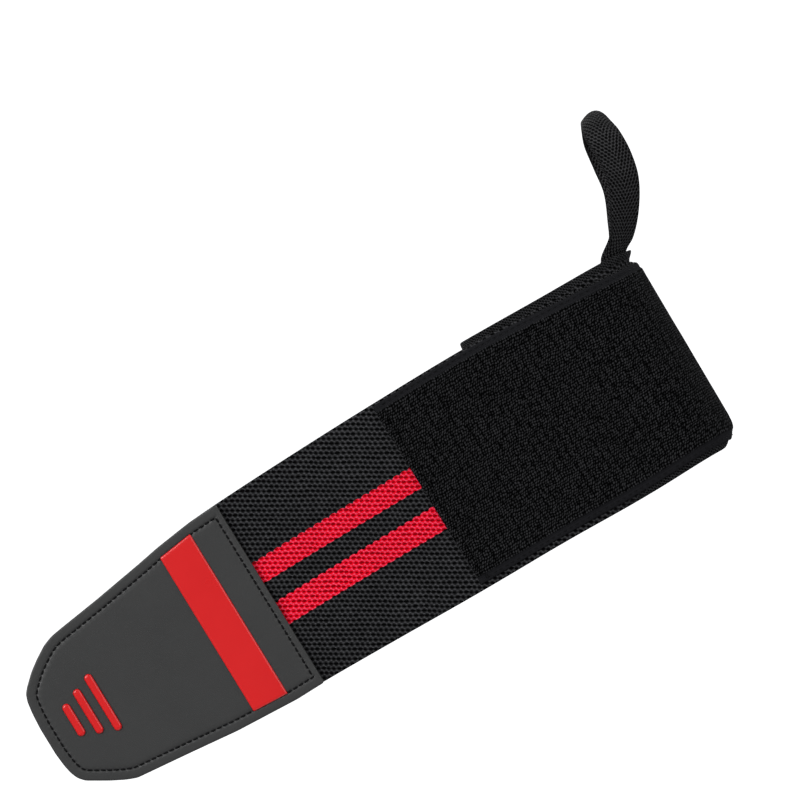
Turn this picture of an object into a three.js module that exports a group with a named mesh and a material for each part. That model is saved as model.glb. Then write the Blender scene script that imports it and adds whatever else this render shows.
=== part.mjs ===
// Wrist wrap, in its worn form and with the tail not yet fastened.
//
// A wide elastic band is wound one turn and a third round the wrist. Its inner layer starts
// behind the thumb, and its outer layer leaves the front as a straight tail. The tail ends
// in a tapered rubber tab sewn to a hook pad, with the band's end between the two. A pile patch
// on the band's outer face takes the hooks. A narrow strap sewn to the skin side of the band's
// start makes a loop for the thumb.
//
// Millimetres. The origin is the centre of the wrist's hollow. Z runs along the wrist towards
// the hand, X across it towards the thumb, and the front, which the tail leaves, faces -Y.

import * as THREE from 'three';

// Elastic band
const bandWidth = 77;
const bandThickness = 1.8;
const layerGap = 0.3;
const startTurn = -7 / 48;
const tailLength = 143.3;
const endUnderTab = 14;

// Hollow for the wrist, a superellipse in plan
const wristHalfWidth = 33;
const wristHalfDepth = 22.7;
const wristSquareness = 2.5;
const wristTaper = 0.6;

// How the band lies: the climb of the inner layer towards the hand, the set of the tail back
// towards the skin side, the rounded roll of the lower edge where the wrist turns, and the lip
// where the inner layer's upper edge stands off behind the thumb loop
const windRise = 4;
const tailSet = 4;
const rollRadius = 7;
const rollStart = 33;
const rollLeast = 0.12;
const lipFlare = 2.2;
const lipStart = 35;
const lipRun = 5;

// Where the band changes form: the ramp onto the inner layer, in turns before the overlap, and
// as shares of the tail where it eases from the wrist's form to flat and where it sets back
const rampStart = 0.09;
const rampEnd = 0.008;
const easeStart = 0.07;
const easeEnd = 0.35;
const setStart = 0.56;
const setEnd = 0.97;

// Pile patch on the outer face, from the tail to behind the thumb
const patchThickness = 1.1;
const patchReach = 74.8;
const patchTurn = 40 / 48;
const patchTopMargin = 0.8;
const patchBottomMargin = 2.4;
const selvedgeWidth = 2.1;
const selvedgeThickness = 0.6;
const selvedgeRamp = 0.63;

// Rubber tab and the hook pad behind it
const tabLength = 99;
const tabThickness = 1.8;
const hookThickness = 1.6;
const hookInset = 0.6;
const hookJog = 7;

// Raised red trim on the rubber
const trimGap = 0.1;
const redBandOffset = 14.4;
const redBandWidth = 13.6;
const redBandHeight = 0.6;
const redBandMargin = 3.6;
const gripBarWidth = 2.7;
const gripBarHeight = 0.9;
const gripBarBevel = 0.35;

// Thumb loop
const strapWidth = 14;
const strapThickness = 1.2;
const footTurn = 0.063;
const footDepth = 20;
const footRise = 0.6;
const loopHeight = 48.8;
const loopReach = 22;

// How finely the cloth and the bars are cut
const outlineSteps = 960;
const stepsPerTurn = 48;
const patchSteps = 9;
const freeSteps = 10;
const nearestPlace = 1e-6;
const plateColumns = 4;
const hookRowClear = 1;
const loopSteps = 3;
const barCurveSteps = 8;
const barBevelSteps = 2;

// Derived sizes and places
const layerStep = bandThickness + layerGap;
const halfBand = bandWidth / 2;
const leaveTurn = 1.25;
const overlapTurn = 1 + startTurn;
const patchEnd = leaveTurn + patchReach / tailLength;

// How the band is wound. Places up to 1.25 are turns from the thumb side by way of the front,
// and past it they are shares of the tail. Lift is a share of windRise, width of bandWidth.
const windRows = [
  { place: -0.15, lift: 0.00, width: 1.000 },
  { place: 0.02, lift: 0.15, width: 1.000 },
  { place: 0.10, lift: 0.50, width: 1.000 },
  { place: 0.25, lift: 0.70, width: 1.002 },
  { place: 0.46, lift: 1.00, width: 1.002 },
  { place: 0.62, lift: 0.85, width: 1.002 },
  { place: 0.80, lift: 0.25, width: 1.002 },
  { place: 1.00, lift: -0.76, width: 0.982 },
  { place: 1.08, lift: -0.74, width: 0.985 },
  { place: 1.25, lift: -0.49, width: 1.025 },
  { place: 1.50, lift: -0.06, width: 1.048 },
  { place: 1.77, lift: 0.05, width: 1.044 },
  { place: 2.02, lift: 0.13, width: 1.025 },
  { place: 2.25, lift: 0.12, width: 1.003 },
  { place: 2.40, lift: 0.00, width: 0.985 },
];

// Across the band, from the lower edge to the upper one: shares of half its width, and how much
// of the thickness each face draws in, which rounds the edges.
const bandColumns = [
  { across: -1.000, drawIn: 0.30 },
  { across: -0.975, drawIn: 0.00 },
  { across: -0.920, drawIn: 0.00 },
  { across: -0.850, drawIn: 0.00 },
  { across: -0.500, drawIn: 0.00 },
  { across: 0.000, drawIn: 0.00 },
  { across: 0.500, drawIn: 0.00 },
  { across: 0.880, drawIn: 0.00 },
  { across: 0.975, drawIn: 0.00 },
  { across: 1.000, drawIn: 0.30 },
];

// Across the patch, from an edge inward: the distance, and whether the pile stands there.
const patchColumns = [
  { inFrom: 0, pile: false },
  { inFrom: selvedgeWidth, pile: false },
  { inFrom: selvedgeWidth + selvedgeRamp, pile: true },
  { inFrom: bandWidth * 0.12, pile: true },
  { inFrom: bandWidth * 0.35, pile: true },
];

// Outline of the tab, from its end on the band to its tip: shares of tabLength, and of half the
// band's width above and below the band's own centre line.
const tabRows = [
  { along: 0.000, upper: 1.012, lower: -0.995 },
  { along: 0.120, upper: 1.000, lower: -0.998 },
  { along: 0.270, upper: 0.953, lower: -0.974 },
  { along: 0.370, upper: 0.909, lower: -0.958 },
  { along: 0.570, upper: 0.831, lower: -0.899 },
  { along: 0.750, upper: 0.771, lower: -0.849 },
  { along: 0.785, upper: 0.756, lower: -0.839 },
  { along: 0.825, upper: 0.719, lower: -0.797 },
  { along: 0.876, upper: 0.639, lower: -0.727 },
  { along: 0.916, upper: 0.566, lower: -0.665 },
  { along: 0.957, upper: 0.470, lower: -0.600 },
  { along: 0.977, upper: 0.413, lower: -0.540 },
  { along: 0.988, upper: 0.338, lower: -0.468 },
  { along: 0.995, upper: 0.220, lower: -0.377 },
  { along: 1.000, upper: 0.050, lower: -0.234 },
];

// Raised bars on the tab: shares of tabLength from its inner end, and of half the band's width.
const gripRows = [
  { name: 'grip_bar_1', along: 0.749, upper: 0.250, lower: -0.352 },
  { name: 'grip_bar_2', along: 0.815, upper: 0.183, lower: -0.285 },
  { name: 'grip_bar_3', along: 0.878, upper: 0.116, lower: -0.217 },
];

// Free part of the thumb loop, from the foot in front over the thumb to the foot behind
// it. Between is the place from one foot (-1) to the other (1), out and up are shares of
// loopReach and loopHeight. Twist turns the strap's width away from X in plan, in degrees, and
// cup is how far its edges bend inward, as a share of its width. Its feet have the rows before
// and after these, at shares of footDepth below the band's edge, and every row has five points
// at shares of the strap's width.
const footRows = [1, 0.66, 0.33, 0];
const strapColumns = [-0.5, -0.25, 0, 0.25, 0.5];
const loopRows = [
  { between: -1.10, out: 0.31, up: 0.10, twist: 54, cup: 0.00 },
  { between: -1.34, out: 0.575, up: 0.26, twist: 36, cup: 0.01 },
  { between: -1.54, out: 0.785, up: 0.46, twist: 14, cup: 0.03 },
  { between: -1.56, out: 0.87, up: 0.66, twist: 4, cup: 0.05 },
  { between: -1.30, out: 0.90, up: 0.84, twist: 0, cup: 0.11 },
  { between: -0.78, out: 0.93, up: 0.95, twist: 0, cup: 0.18 },
  { between: 0.00, out: 0.95, up: 1.00, twist: 0, cup: 0.21 },
  { between: 0.78, out: 0.95, up: 0.95, twist: 0, cup: 0.18 },
  { between: 1.30, out: 0.93, up: 0.84, twist: -3, cup: 0.11 },
  { between: 1.56, out: 0.88, up: 0.66, twist: -8, cup: 0.05 },
  { between: 1.54, out: 0.79, up: 0.46, twist: -18, cup: 0.03 },
  { between: 1.34, out: 0.575, up: 0.26, twist: -38, cup: 0.01 },
  { between: 1.10, out: 0.31, up: 0.10, twist: -54, cup: 0.00 },
];

function clamp01(value) {
  return Math.min(1, Math.max(0, value));
}

function smoothStep(value, from, to) {
  const share = clamp01((value - from) / (to - from));
  return share * share * (3 - 2 * share);
}

// A table's column at a key, on a cubic through its rows whose slope at each row is the slope
// from the row before to the row after.
function columnAt(rows, key, column, at) {
  const last = rows.length - 1;
  const value = THREE.MathUtils.clamp(at, rows[0][key], rows[last][key]);
  let low = 0;
  while (low < last - 1 && rows[low + 1][key] < value) {
    low += 1;
  }
  const slope = (index) => {
    const before = rows[Math.max(0, index - 1)];
    const after = rows[Math.min(last, index + 1)];
    return (after[column] - before[column]) / (after[key] - before[key]);
  };
  const span = rows[low + 1][key] - rows[low][key];
  const t = (value - rows[low][key]) / span;
  const rise = rows[low + 1][column] - rows[low][column];
  const start = rows[low][column];
  const startSlope = slope(low) * span;
  const endSlope = slope(low + 1) * span;
  const square = 3 * rise - 2 * startSlope - endSlope;
  const cube = startSlope + endSlope - 2 * rise;
  return start + t * (startSlope + t * (square + t * cube));
}

// The same column on straight lines between the rows, for outlines that are given closely.
function lineAt(rows, key, column, at) {
  const last = rows.length - 1;
  let low = 0;
  while (low < last - 1 && rows[low + 1][key] < at) {
    low += 1;
  }
  const share = clamp01((at - rows[low][key]) / (rows[low + 1][key] - rows[low][key]));
  return rows[low][column] + share * (rows[low + 1][column] - rows[low][column]);
}

// One turn of the hollow's outline at mid height, from the thumb side by way of the front, as
// points with the length walked to each.
function makeOutline() {
  const points = [];
  let walked = 0;
  for (let index = 0; index <= outlineSteps; index += 1) {
    const angle = (-2 * Math.PI * index) / outlineSteps;
    const power = 2 / wristSquareness;
    const x = wristHalfWidth * Math.sign(Math.cos(angle)) * Math.abs(Math.cos(angle)) ** power;
    const y = wristHalfDepth * Math.sign(Math.sin(angle)) * Math.abs(Math.sin(angle)) ** power;
    if (index > 0) {
      walked += Math.hypot(x - points[index - 1].x, y - points[index - 1].y);
    }
    points.push({ x, y, walked });
  }
  return points;
}

const outline = makeOutline();
const girth = outline[outline.length - 1].walked;

// A point of the hollow's outline and its outward direction, at a number of turns.
function outlineAt(turn) {
  const target = (turn - Math.floor(turn)) * girth;
  let low = 0;
  let high = outline.length - 1;
  while (high - low > 1) {
    const middle = (low + high) >> 1;
    if (outline[middle].walked <= target) {
      low = middle;
    } else {
      high = middle;
    }
  }
  const share = (target - outline[low].walked) / (outline[high].walked - outline[low].walked);
  const x = outline[low].x + share * (outline[high].x - outline[low].x);
  const y = outline[low].y + share * (outline[high].y - outline[low].y);
  const power = wristSquareness - 1;
  const acrossX = (Math.sign(x) * Math.abs(x / wristHalfWidth) ** power) / wristHalfWidth;
  const acrossY = (Math.sign(y) * Math.abs(y / wristHalfDepth) ** power) / wristHalfDepth;
  const length = Math.hypot(acrossX, acrossY);
  return { x, y, outX: acrossX / length, outY: acrossY / length };
}

// The path's point and outward direction in plan, round the wrist and then along the tail.
function planAt(place) {
  if (place <= leaveTurn) {
    return outlineAt(place);
  }
  const along = (place - leaveTurn) * tailLength;
  const set = tailSet * smoothStep(place, leaveTurn + setStart, leaveTurn + setEnd);
  return { x: -along, y: set - wristHalfDepth, outX: 0, outY: -1 };
}

// How the roll of an edge moves a point that would lie flat at a height: past rollStart the
// cloth runs on an arc, wider where the share of the roll is small.
function rolled(flat, share) {
  const past = Math.abs(flat) - rollStart;
  if (past <= 0 || share <= 0) {
    return { height: flat, inward: 0, tilt: 0 };
  }
  const radius = rollRadius / share;
  const tilt = past / radius;
  const height = Math.sign(flat) * (rollStart + radius * Math.sin(tilt));
  return { height, inward: radius * (1 - Math.cos(tilt)), tilt: tilt * Math.sign(flat) };
}

// A point on or over the band: its place, its distance above the band's centre line, and its
// height off the layer's skin side.
function bandPoint(place, fromCentre, height) {
  const plan = planAt(place);
  const hold = 1 - smoothStep(place, leaveTurn + easeStart, leaveTurn + easeEnd);
  const flat = windRise * columnAt(windRows, 'place', 'lift', place) + fromCentre;
  const sideways = plan.outX * plan.outX;
  const rollShare = hold * (flat < 0 ? rollLeast + (1 - rollLeast) * sideways : rollLeast);
  const roll = rolled(flat, rollShare);
  const under = smoothStep(place, overlapTurn - rampStart, overlapTurn - rampEnd) * layerStep;
  const off = under + height;
  const taper = hold * ((wristTaper * roll.height) / halfBand);
  const thumbSide = plan.outX > 0 ? sideways * sideways : 0;
  const lip = lipFlare * thumbSide * smoothStep(flat, lipStart, lipStart + lipRun);
  const reach = taper + lip - roll.inward + off * Math.cos(roll.tilt);
  return new THREE.Vector3(
    plan.x + plan.outX * reach,
    plan.y + plan.outY * reach,
    roll.height + off * Math.sin(roll.tilt),
  );
}

function halfWidthAt(place) {
  return halfBand * columnAt(windRows, 'place', 'width', place);
}

// Places from one to another: both ends, and each step of a turn or of the tail between them.
function placesBetween(from, to) {
  const places = [from];
  const add = (value) => {
    if (value > from + nearestPlace && value < to - nearestPlace) {
      places.push(value);
    }
  };
  for (let step = Math.ceil(from * stepsPerTurn); step <= leaveTurn * stepsPerTurn; step += 1) {
    add(step / stepsPerTurn);
  }
  for (let step = 1; step <= patchSteps; step += 1) {
    add(leaveTurn + ((patchEnd - leaveTurn) * step) / patchSteps);
  }
  for (let step = 1; step <= freeSteps; step += 1) {
    add(patchEnd + ((leaveTurn + 1 - patchEnd) * step) / freeSteps);
  }
  places.push(to);
  return places;
}

// A closed body between an outer and an inner sheet of points, rows by columns, joined round
// all four edges. Turning from columns to rows looks outward on the outer sheet.
function bodyBetween(outer, inner) {
  const rows = outer.length;
  const columns = outer[0].length;
  const positions = [];
  for (const sheet of [outer, inner]) {
    for (const row of sheet) {
      for (const point of row) {
        positions.push(point.x, point.y, point.z);
      }
    }
  }
  const outerAt = (row, column) => row * columns + column;
  const innerAt = (row, column) => rows * columns + row * columns + column;
  const indices = [];
  const quad = (a, b, c, d) => {
    indices.push(a, b, c, a, c, d);
  };
  for (let i = 0; i < rows - 1; i += 1) {
    for (let j = 0; j < columns - 1; j += 1) {
      quad(outerAt(i, j), outerAt(i, j + 1), outerAt(i + 1, j + 1), outerAt(i + 1, j));
      quad(innerAt(i, j), innerAt(i + 1, j), innerAt(i + 1, j + 1), innerAt(i, j + 1));
    }
  }
  const top = columns - 1;
  const end = rows - 1;
  for (let i = 0; i < end; i += 1) {
    quad(outerAt(i, 0), outerAt(i + 1, 0), innerAt(i + 1, 0), innerAt(i, 0));
    quad(outerAt(i, top), innerAt(i, top), innerAt(i + 1, top), outerAt(i + 1, top));
  }
  for (let j = 0; j < top; j += 1) {
    quad(outerAt(0, j), innerAt(0, j), innerAt(0, j + 1), outerAt(0, j + 1));
    quad(outerAt(end, j), outerAt(end, j + 1), innerAt(end, j + 1), innerAt(end, j));
  }
  const geometry = new THREE.BufferGeometry();
  geometry.setAttribute('position', new THREE.Float32BufferAttribute(positions, 3));
  geometry.setIndex(indices);
  geometry.computeVertexNormals();
  return geometry;
}

// The whole elastic band, from its start behind the thumb to its end under the tab.
function makeBand() {
  const places = placesBetween(startTurn, leaveTurn + 1 + endUnderTab / tailLength);
  const sheet = (heightOf) =>
    places.map((place) =>
      bandColumns.map((column) =>
        bandPoint(place, column.across * halfWidthAt(place), heightOf(column)),
      ),
    );
  const outer = sheet((column) => bandThickness * (1 - column.drawIn));
  const inner = sheet((column) => bandThickness * column.drawIn);
  return bodyBetween(outer, inner);
}

// The pile patch over the band's outer face, with a thinner selvedge along both long edges.
function makePatch() {
  const places = placesBetween(patchTurn, patchEnd);
  const seat = bandThickness + layerGap;
  const lower = patchColumns.map((column) => ({ ...column, side: -1, margin: patchBottomMargin }));
  const upper = patchColumns.map((column) => ({ ...column, side: 1, margin: patchTopMargin }));
  const columns = [...lower, ...upper.reverse()];
  const sheet = (heightOf) =>
    places.map((place) =>
      columns.map((column) => {
        const fromCentre = halfWidthAt(place) - column.margin - column.inFrom;
        return bandPoint(place, column.side * fromCentre, seat + heightOf(column));
      }),
    );
  return bodyBetween(
    sheet((column) => (column.pile ? patchThickness : selvedgeThickness)),
    sheet(() => 0),
  );
}

// The tab's faces stand in planes across Y, worked out from the band's end between them.
const bandEndOuterY = tailSet - wristHalfDepth - layerStep - bandThickness;
const bandEndInnerY = tailSet - wristHalfDepth - layerStep;
const rubberBackY = bandEndOuterY - layerGap;
const rubberFrontY = rubberBackY - tabThickness;
const hookOnBandY = bandEndInnerY + layerGap;
const hookOnRubberY = rubberBackY + layerGap;

// The tab's upper and lower edge at a distance from its inner end, less a margin.
function tabEdgesAt(along, margin) {
  const share = along / tabLength;
  return {
    upper: halfBand * lineAt(tabRows, 'along', 'upper', share) - margin,
    lower: halfBand * lineAt(tabRows, 'along', 'lower', share) + margin,
  };
}

// A plate with the tab's outline less a margin, between two faces given by their Y at each
// distance from the tab's inner end. Each section runs from the lower edge to the upper one.
function tabPlate(distances, margin, frontYAt, backYAt) {
  const sheet = (depthAt) =>
    distances.map((along) => {
      const edges = tabEdgesAt(along, margin);
      const row = [];
      for (let column = 0; column <= plateColumns; column += 1) {
        const z = edges.lower + ((edges.upper - edges.lower) * column) / plateColumns;
        row.push(new THREE.Vector3(-tailLength - along, depthAt(along), z));
      }
      return row;
    });
  return bodyBetween(sheet(frontYAt), sheet(backYAt));
}

function makeTab() {
  const distances = tabRows.map((row) => row.along * tabLength);
  return tabPlate(
    distances,
    0,
    () => rubberFrontY,
    () => rubberBackY,
  );
}

// The hook pad lies on the skin side of the band's end, then steps up against the rubber.
function makeHookPad() {
  const stepFrom = endUnderTab + layerGap * 2;
  const stepTo = stepFrom + hookJog;
  const rest = tabRows.map((row) => row.along * (tabLength - hookInset));
  const outside = rest.filter(
    (along) => along < stepFrom - hookRowClear || along > stepTo + hookRowClear,
  );
  const distances = [...outside, stepFrom, stepTo].sort((a, b) => a - b);
  const frontYAt = (along) => {
    const share = clamp01((along - stepFrom) / (stepTo - stepFrom));
    return hookOnBandY + share * (hookOnRubberY - hookOnBandY);
  };
  return tabPlate(distances, hookInset, frontYAt, (along) => frontYAt(along) + hookThickness);
}

// The raised red band across the tab.
function makeRedBand() {
  const distances = [0, 0.5, 1].map((share) => redBandOffset + share * redBandWidth);
  const backY = rubberFrontY - trimGap;
  return tabPlate(
    distances,
    redBandMargin,
    () => backY - redBandHeight,
    () => backY,
  );
}

// A raised bar with round ends and softened edges, lying along the local Y axis.
function makeGripBar(length) {
  const radius = gripBarWidth / 2;
  const straight = length / 2 - radius;
  const shape = new THREE.Shape();
  shape.moveTo(radius, -straight);
  shape.lineTo(radius, straight);
  shape.absarc(0, straight, radius, 0, Math.PI, false);
  shape.lineTo(-radius, -straight);
  shape.absarc(0, -straight, radius, Math.PI, 2 * Math.PI, false);
  const geometry = new THREE.ExtrudeGeometry(shape, {
    depth: gripBarHeight - 2 * gripBarBevel,
    curveSegments: barCurveSteps,
    bevelEnabled: true,
    bevelThickness: gripBarBevel,
    bevelSize: gripBarBevel,
    bevelOffset: -gripBarBevel,
    bevelSegments: barBevelSteps,
  });
  geometry.translate(0, 0, gripBarBevel);
  return geometry;
}

// The thumb loop's middle sheet: control rows from the front foot, sewn inside the band,
// over the thumb to the foot behind it, each with five points across the strap.
function loopControlRows() {
  const inside = -(layerGap + strapThickness / 2);
  const footRow = (side, drop) => {
    const place = side * footTurn;
    const edge = halfWidthAt(place) + footRise;
    return strapColumns.map((share) => {
      const shift = (-side * share * strapWidth) / girth;
      return bandPoint(place + shift, edge - drop, inside);
    });
  };
  const drops = footRows.map((share) => share * footDepth);
  const front = drops.map((drop) => footRow(1, drop));
  const back = drops.map((drop) => footRow(-1, drop)).reverse();
  const centreColumn = (strapColumns.length - 1) / 2;
  const frontFoot = front[front.length - 1][centreColumn];
  const backFoot = back[0][centreColumn];
  const middle = frontFoot.clone().add(backFoot).multiplyScalar(0.5);
  const halfSpan = backFoot.clone().sub(frontFoot).multiplyScalar(0.5);
  const centres = loopRows.map((row) =>
    middle
      .clone()
      .addScaledVector(halfSpan, row.between)
      .add(new THREE.Vector3(row.out * loopReach, 0, row.up * loopHeight)),
  );
  const free = loopRows.map((row, index) => {
    const before = index === 0 ? frontFoot : centres[index - 1];
    const after = index === loopRows.length - 1 ? backFoot : centres[index + 1];
    const run = after.clone().sub(before).normalize();
    const twist = THREE.MathUtils.degToRad(row.twist);
    const across = new THREE.Vector3(Math.cos(twist), Math.sin(twist), 0);
    across.addScaledVector(run, -across.dot(run)).normalize();
    const outward = across.clone().cross(run);
    return strapColumns.map((share) =>
      centres[index]
        .clone()
        .addScaledVector(across, share * strapWidth)
        .addScaledVector(outward, -row.cup * strapWidth * 4 * share * share),
    );
  });
  return [...front, ...free, ...back];
}

// The thumb loop: a smooth curve through each column of the control rows, with half the
// strap's thickness laid off to both sides.
function makeThumbLoop() {
  const control = loopControlRows();
  const steps = loopSteps * (control.length - 1);
  const lastColumn = strapColumns.length - 1;
  const columns = strapColumns.map((share, column) => {
    const curve = new THREE.CatmullRomCurve3(control.map((row) => row[column]));
    const points = [];
    for (let step = 0; step <= steps; step += 1) {
      points.push(curve.getPoint(step / steps));
    }
    return points;
  });
  const at = (row, column) => columns[THREE.MathUtils.clamp(column, 0, lastColumn)][row];
  const sheet = (offset) => {
    const rows = [];
    for (let row = 0; row <= steps; row += 1) {
      const points = [];
      for (let column = 0; column < columns.length; column += 1) {
        const across = at(row, column + 1).clone().sub(at(row, column - 1));
        const run = at(Math.min(steps, row + 1), column).clone();
        run.sub(at(Math.max(0, row - 1), column));
        const out = across.cross(run).normalize();
        points.push(at(row, column).clone().addScaledVector(out, offset));
      }
      rows.push(points);
    }
    return rows;
  };
  return bodyBetween(sheet(strapThickness / 2), sheet(-strapThickness / 2));
}

const finishes = {
  elastic: new THREE.MeshStandardMaterial({ color: 0x2b2b2d, roughness: 0.92, metalness: 0 }),
  pile: new THREE.MeshStandardMaterial({ color: 0x121214, roughness: 0.97, metalness: 0 }),
  rubber: new THREE.MeshStandardMaterial({ color: 0x3a3b3d, roughness: 0.62, metalness: 0 }),
  hook: new THREE.MeshStandardMaterial({ color: 0x1a1a1c, roughness: 0.8, metalness: 0 }),
  red: new THREE.MeshStandardMaterial({ color: 0xd8191c, roughness: 0.4, metalness: 0 }),
  strap: new THREE.MeshStandardMaterial({ color: 0x222224, roughness: 0.92, metalness: 0 }),
};

function addPiece(parent, name, geometry, finish) {
  const mesh = new THREE.Mesh(geometry, finish);
  mesh.name = name;
  parent.add(mesh);
  return mesh;
}

const wristWrap = new THREE.Group();
addPiece(wristWrap, 'elastic_band', makeBand(), finishes.elastic);
addPiece(wristWrap, 'pile_patch', makePatch(), finishes.pile);
addPiece(wristWrap, 'thumb_loop', makeThumbLoop(), finishes.strap);
addPiece(wristWrap, 'tab_patch', makeTab(), finishes.rubber);
addPiece(wristWrap, 'hook_pad', makeHookPad(), finishes.hook);
addPiece(wristWrap, 'red_band', makeRedBand(), finishes.red);
for (const row of gripRows) {
  const upper = row.upper * halfBand;
  const lower = row.lower * halfBand;
  const bar = addPiece(wristWrap, row.name, makeGripBar(upper - lower), finishes.red);
  bar.rotation.x = Math.PI / 2;
  bar.position.set(
    -tailLength - row.along * tabLength,
    rubberFrontY - trimGap,
    (upper + lower) / 2,
  );
}

export default wristWrap;
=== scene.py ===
"""The wrist wrap's looks: cloth, pile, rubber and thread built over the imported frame.

Sizes are in millimetres and become metres where a mesh is made. Z runs along the wrist towards
the loop, X across it to the loop's side, and the front faces -Y, as in the frame.
"""

import logging
import math
from dataclasses import dataclass, replace
from enum import Enum
from functools import partial
from typing import Callable, Sequence

import bpy
import numpy as np
from mathutils import Matrix, Vector


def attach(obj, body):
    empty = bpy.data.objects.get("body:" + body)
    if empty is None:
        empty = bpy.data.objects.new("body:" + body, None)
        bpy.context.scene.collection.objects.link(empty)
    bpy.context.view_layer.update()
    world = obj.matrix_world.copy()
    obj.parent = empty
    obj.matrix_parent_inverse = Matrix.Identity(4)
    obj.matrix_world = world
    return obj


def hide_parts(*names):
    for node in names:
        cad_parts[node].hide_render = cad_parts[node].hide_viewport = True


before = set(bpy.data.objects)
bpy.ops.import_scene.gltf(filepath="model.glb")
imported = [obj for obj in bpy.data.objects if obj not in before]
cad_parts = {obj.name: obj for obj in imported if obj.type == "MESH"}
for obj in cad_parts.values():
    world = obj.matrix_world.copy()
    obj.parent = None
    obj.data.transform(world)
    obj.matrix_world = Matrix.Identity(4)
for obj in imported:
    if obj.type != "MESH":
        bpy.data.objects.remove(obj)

LOG = logging.getLogger("wrist_wrap")
METRE = 0.001
TURN = 2 * math.pi
FAR_INSIDE = 99.0
Array = np.ndarray
Pair = tuple[float, float]
Triple = tuple[float, float, float]
Material = bpy.types.Material
Node = bpy.types.Node
Piece = bpy.types.Object
Socket = bpy.types.NodeSocket


class Face(Enum):
    """Which face of a layer a body or a row of thread belongs to."""

    OUTER = 1
    SKIN = -1


class Yarn(Enum):
    """The woven yarns' linear colours, from the holes up to the crowns: BLACK, STRAP_BLACK, RED and RED_PALE
    are dyes, BLACK_HOLE and RED_HOLE are painted shade in the holes, RED_SIDE is painted shade on the red
    yarn's sides and RED_GLINT is a painted highlight on its crowns.
    """

    # Painted shade in the black weave's holes.
    BLACK_HOLE = (0.0004, 0.0004, 0.0005)
    BLACK = (0.034, 0.034, 0.036)
    STRAP_BLACK = (0.034, 0.034, 0.035)
    # Painted shade in the red weave's holes, then painted shade on the red yarn's sides.
    RED_HOLE = (0.24, 0.0003, 0.003)
    RED_SIDE = (0.74, 0.0008, 0.008)
    RED = (0.98, 0.006, 0.030)
    RED_PALE = (1.0, 0.012, 0.046)
    # Painted highlight on the red yarn's crowns.
    RED_GLINT = (1.0, 0.085, 0.17)


# Shapes in plain numbers


def smooth_step(value: Array, start: float, end: float) -> Array:
    """Share of the way from start to end, eased: 3 s^2 - 2 s^3 of the clipped share s."""
    share = np.clip((np.asarray(value, float) - start) / (end - start), 0.0, 1.0)
    return share * share * (3.0 - 2.0 * share)


def eased_column(keys: Array, values: Array, at: Array) -> Array:
    """A table's column on a cubic whose slope at each row runs from the row before to the next.

    Args:
        keys: The rows' keys, rising.
        values: The rows' values.
        at: Where the column is read.

    Returns:
        The column's value at each place.
    """
    last = len(keys) - 1
    before = np.maximum(np.arange(last + 1) - 1, 0)
    after = np.minimum(np.arange(last + 1) + 1, last)
    slopes = (values[after] - values[before]) / (keys[after] - keys[before])
    clipped = np.clip(at, keys[0], keys[-1])
    low = np.clip(np.searchsorted(keys, clipped, side="left") - 1, 0, last - 1)
    span = keys[low + 1] - keys[low]
    t = (clipped - keys[low]) / span
    rise = values[low + 1] - values[low]
    start, end = slopes[low] * span, slopes[low + 1] * span
    return values[low] + t * (start + t * ((3 * rise - 2 * start - end) + t * (start + end - 2 * rise)))


def centripetal(points: Array, per_span: int) -> Array:
    """Centripetal Catmull-Rom curves through rows of points, one curve for each column.

    Each span is a cubic between two rows, whose end slopes come from the square roots of the
    distances to the rows around it.

    Args:
        points: Rows by columns by three.
        per_span: Steps in each span.

    Returns:
        The points on the curves, rows by columns by three.
    """
    padded = np.concatenate([2 * points[:1] - points[1:2], points, 2 * points[-1:] - points[-2:-1]])
    gaps = np.sqrt(np.linalg.norm(np.diff(padded, axis=0), axis=-1, keepdims=True))
    first, second, third = gaps[:-2], gaps[1:-1], gaps[2:]
    p0, p1, p2, p3 = padded[:-3], padded[1:-2], padded[2:-1], padded[3:]
    leave = ((p1 - p0) / first - (p2 - p0) / (first + second) + (p2 - p1) / second) * second
    arrive = ((p2 - p1) / second - (p3 - p1) / (second + third) + (p3 - p2) / third) * second
    t = (np.arange(per_span) / per_span).reshape(1, -1, 1, 1)
    p1, p2, leave, arrive = (a[:, None] for a in (p1, p2, leave, arrive))
    cubic = p1 + t * (leave + t * ((3 * (p2 - p1) - 2 * leave - arrive) + t * (leave + arrive - 2 * (p2 - p1))))
    return np.concatenate([cubic.reshape(-1, points.shape[1], 3), points[-1:]])


def unit(vectors: Array) -> Array:
    """The vectors at length one."""
    return vectors / np.maximum(np.linalg.norm(vectors, axis=-1, keepdims=True), 1e-12)


def walked_along(points: Array) -> Array:
    """Length walked from the first point to each, with the points on the axis before the last."""
    steps = np.linalg.norm(np.diff(points, axis=-2), axis=-1)
    return np.concatenate([np.zeros(steps[..., :1].shape), np.cumsum(steps, axis=-1)], -1)


def rounded_rim(inset: Array, reach: float, least: float) -> Array:
    """Share of the thickness by the inset from an edge: a quarter ellipse from the least to one."""
    return least + (1 - least) * np.sqrt(1 - (1 - np.clip(inset / reach, 0, 1)) ** 2)


def ripple(along: Array, across: Array, seed: int) -> Array:
    """A slow unevenness of cloth: six crossing sine waves of 9 to 40 mm, from -1 to 1.

    Args:
        along: Millimetres along the cloth.
        across: Millimetres across it.
        seed: Chooses the waves' directions and starts.

    Returns:
        The waves' mean at each place.
    """
    rng = np.random.default_rng(seed)
    total = np.zeros(np.broadcast(along, across).shape)
    for length in (9.0, 12.5, 17.0, 22.0, 30.0, 40.0):
        angle, phase = rng.uniform(0, math.pi), rng.uniform(0, TURN)
        total += np.sin(TURN * (along * math.cos(angle) + across * math.sin(angle)) / length + phase)
    return total / 6.0


# Meshes


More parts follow.
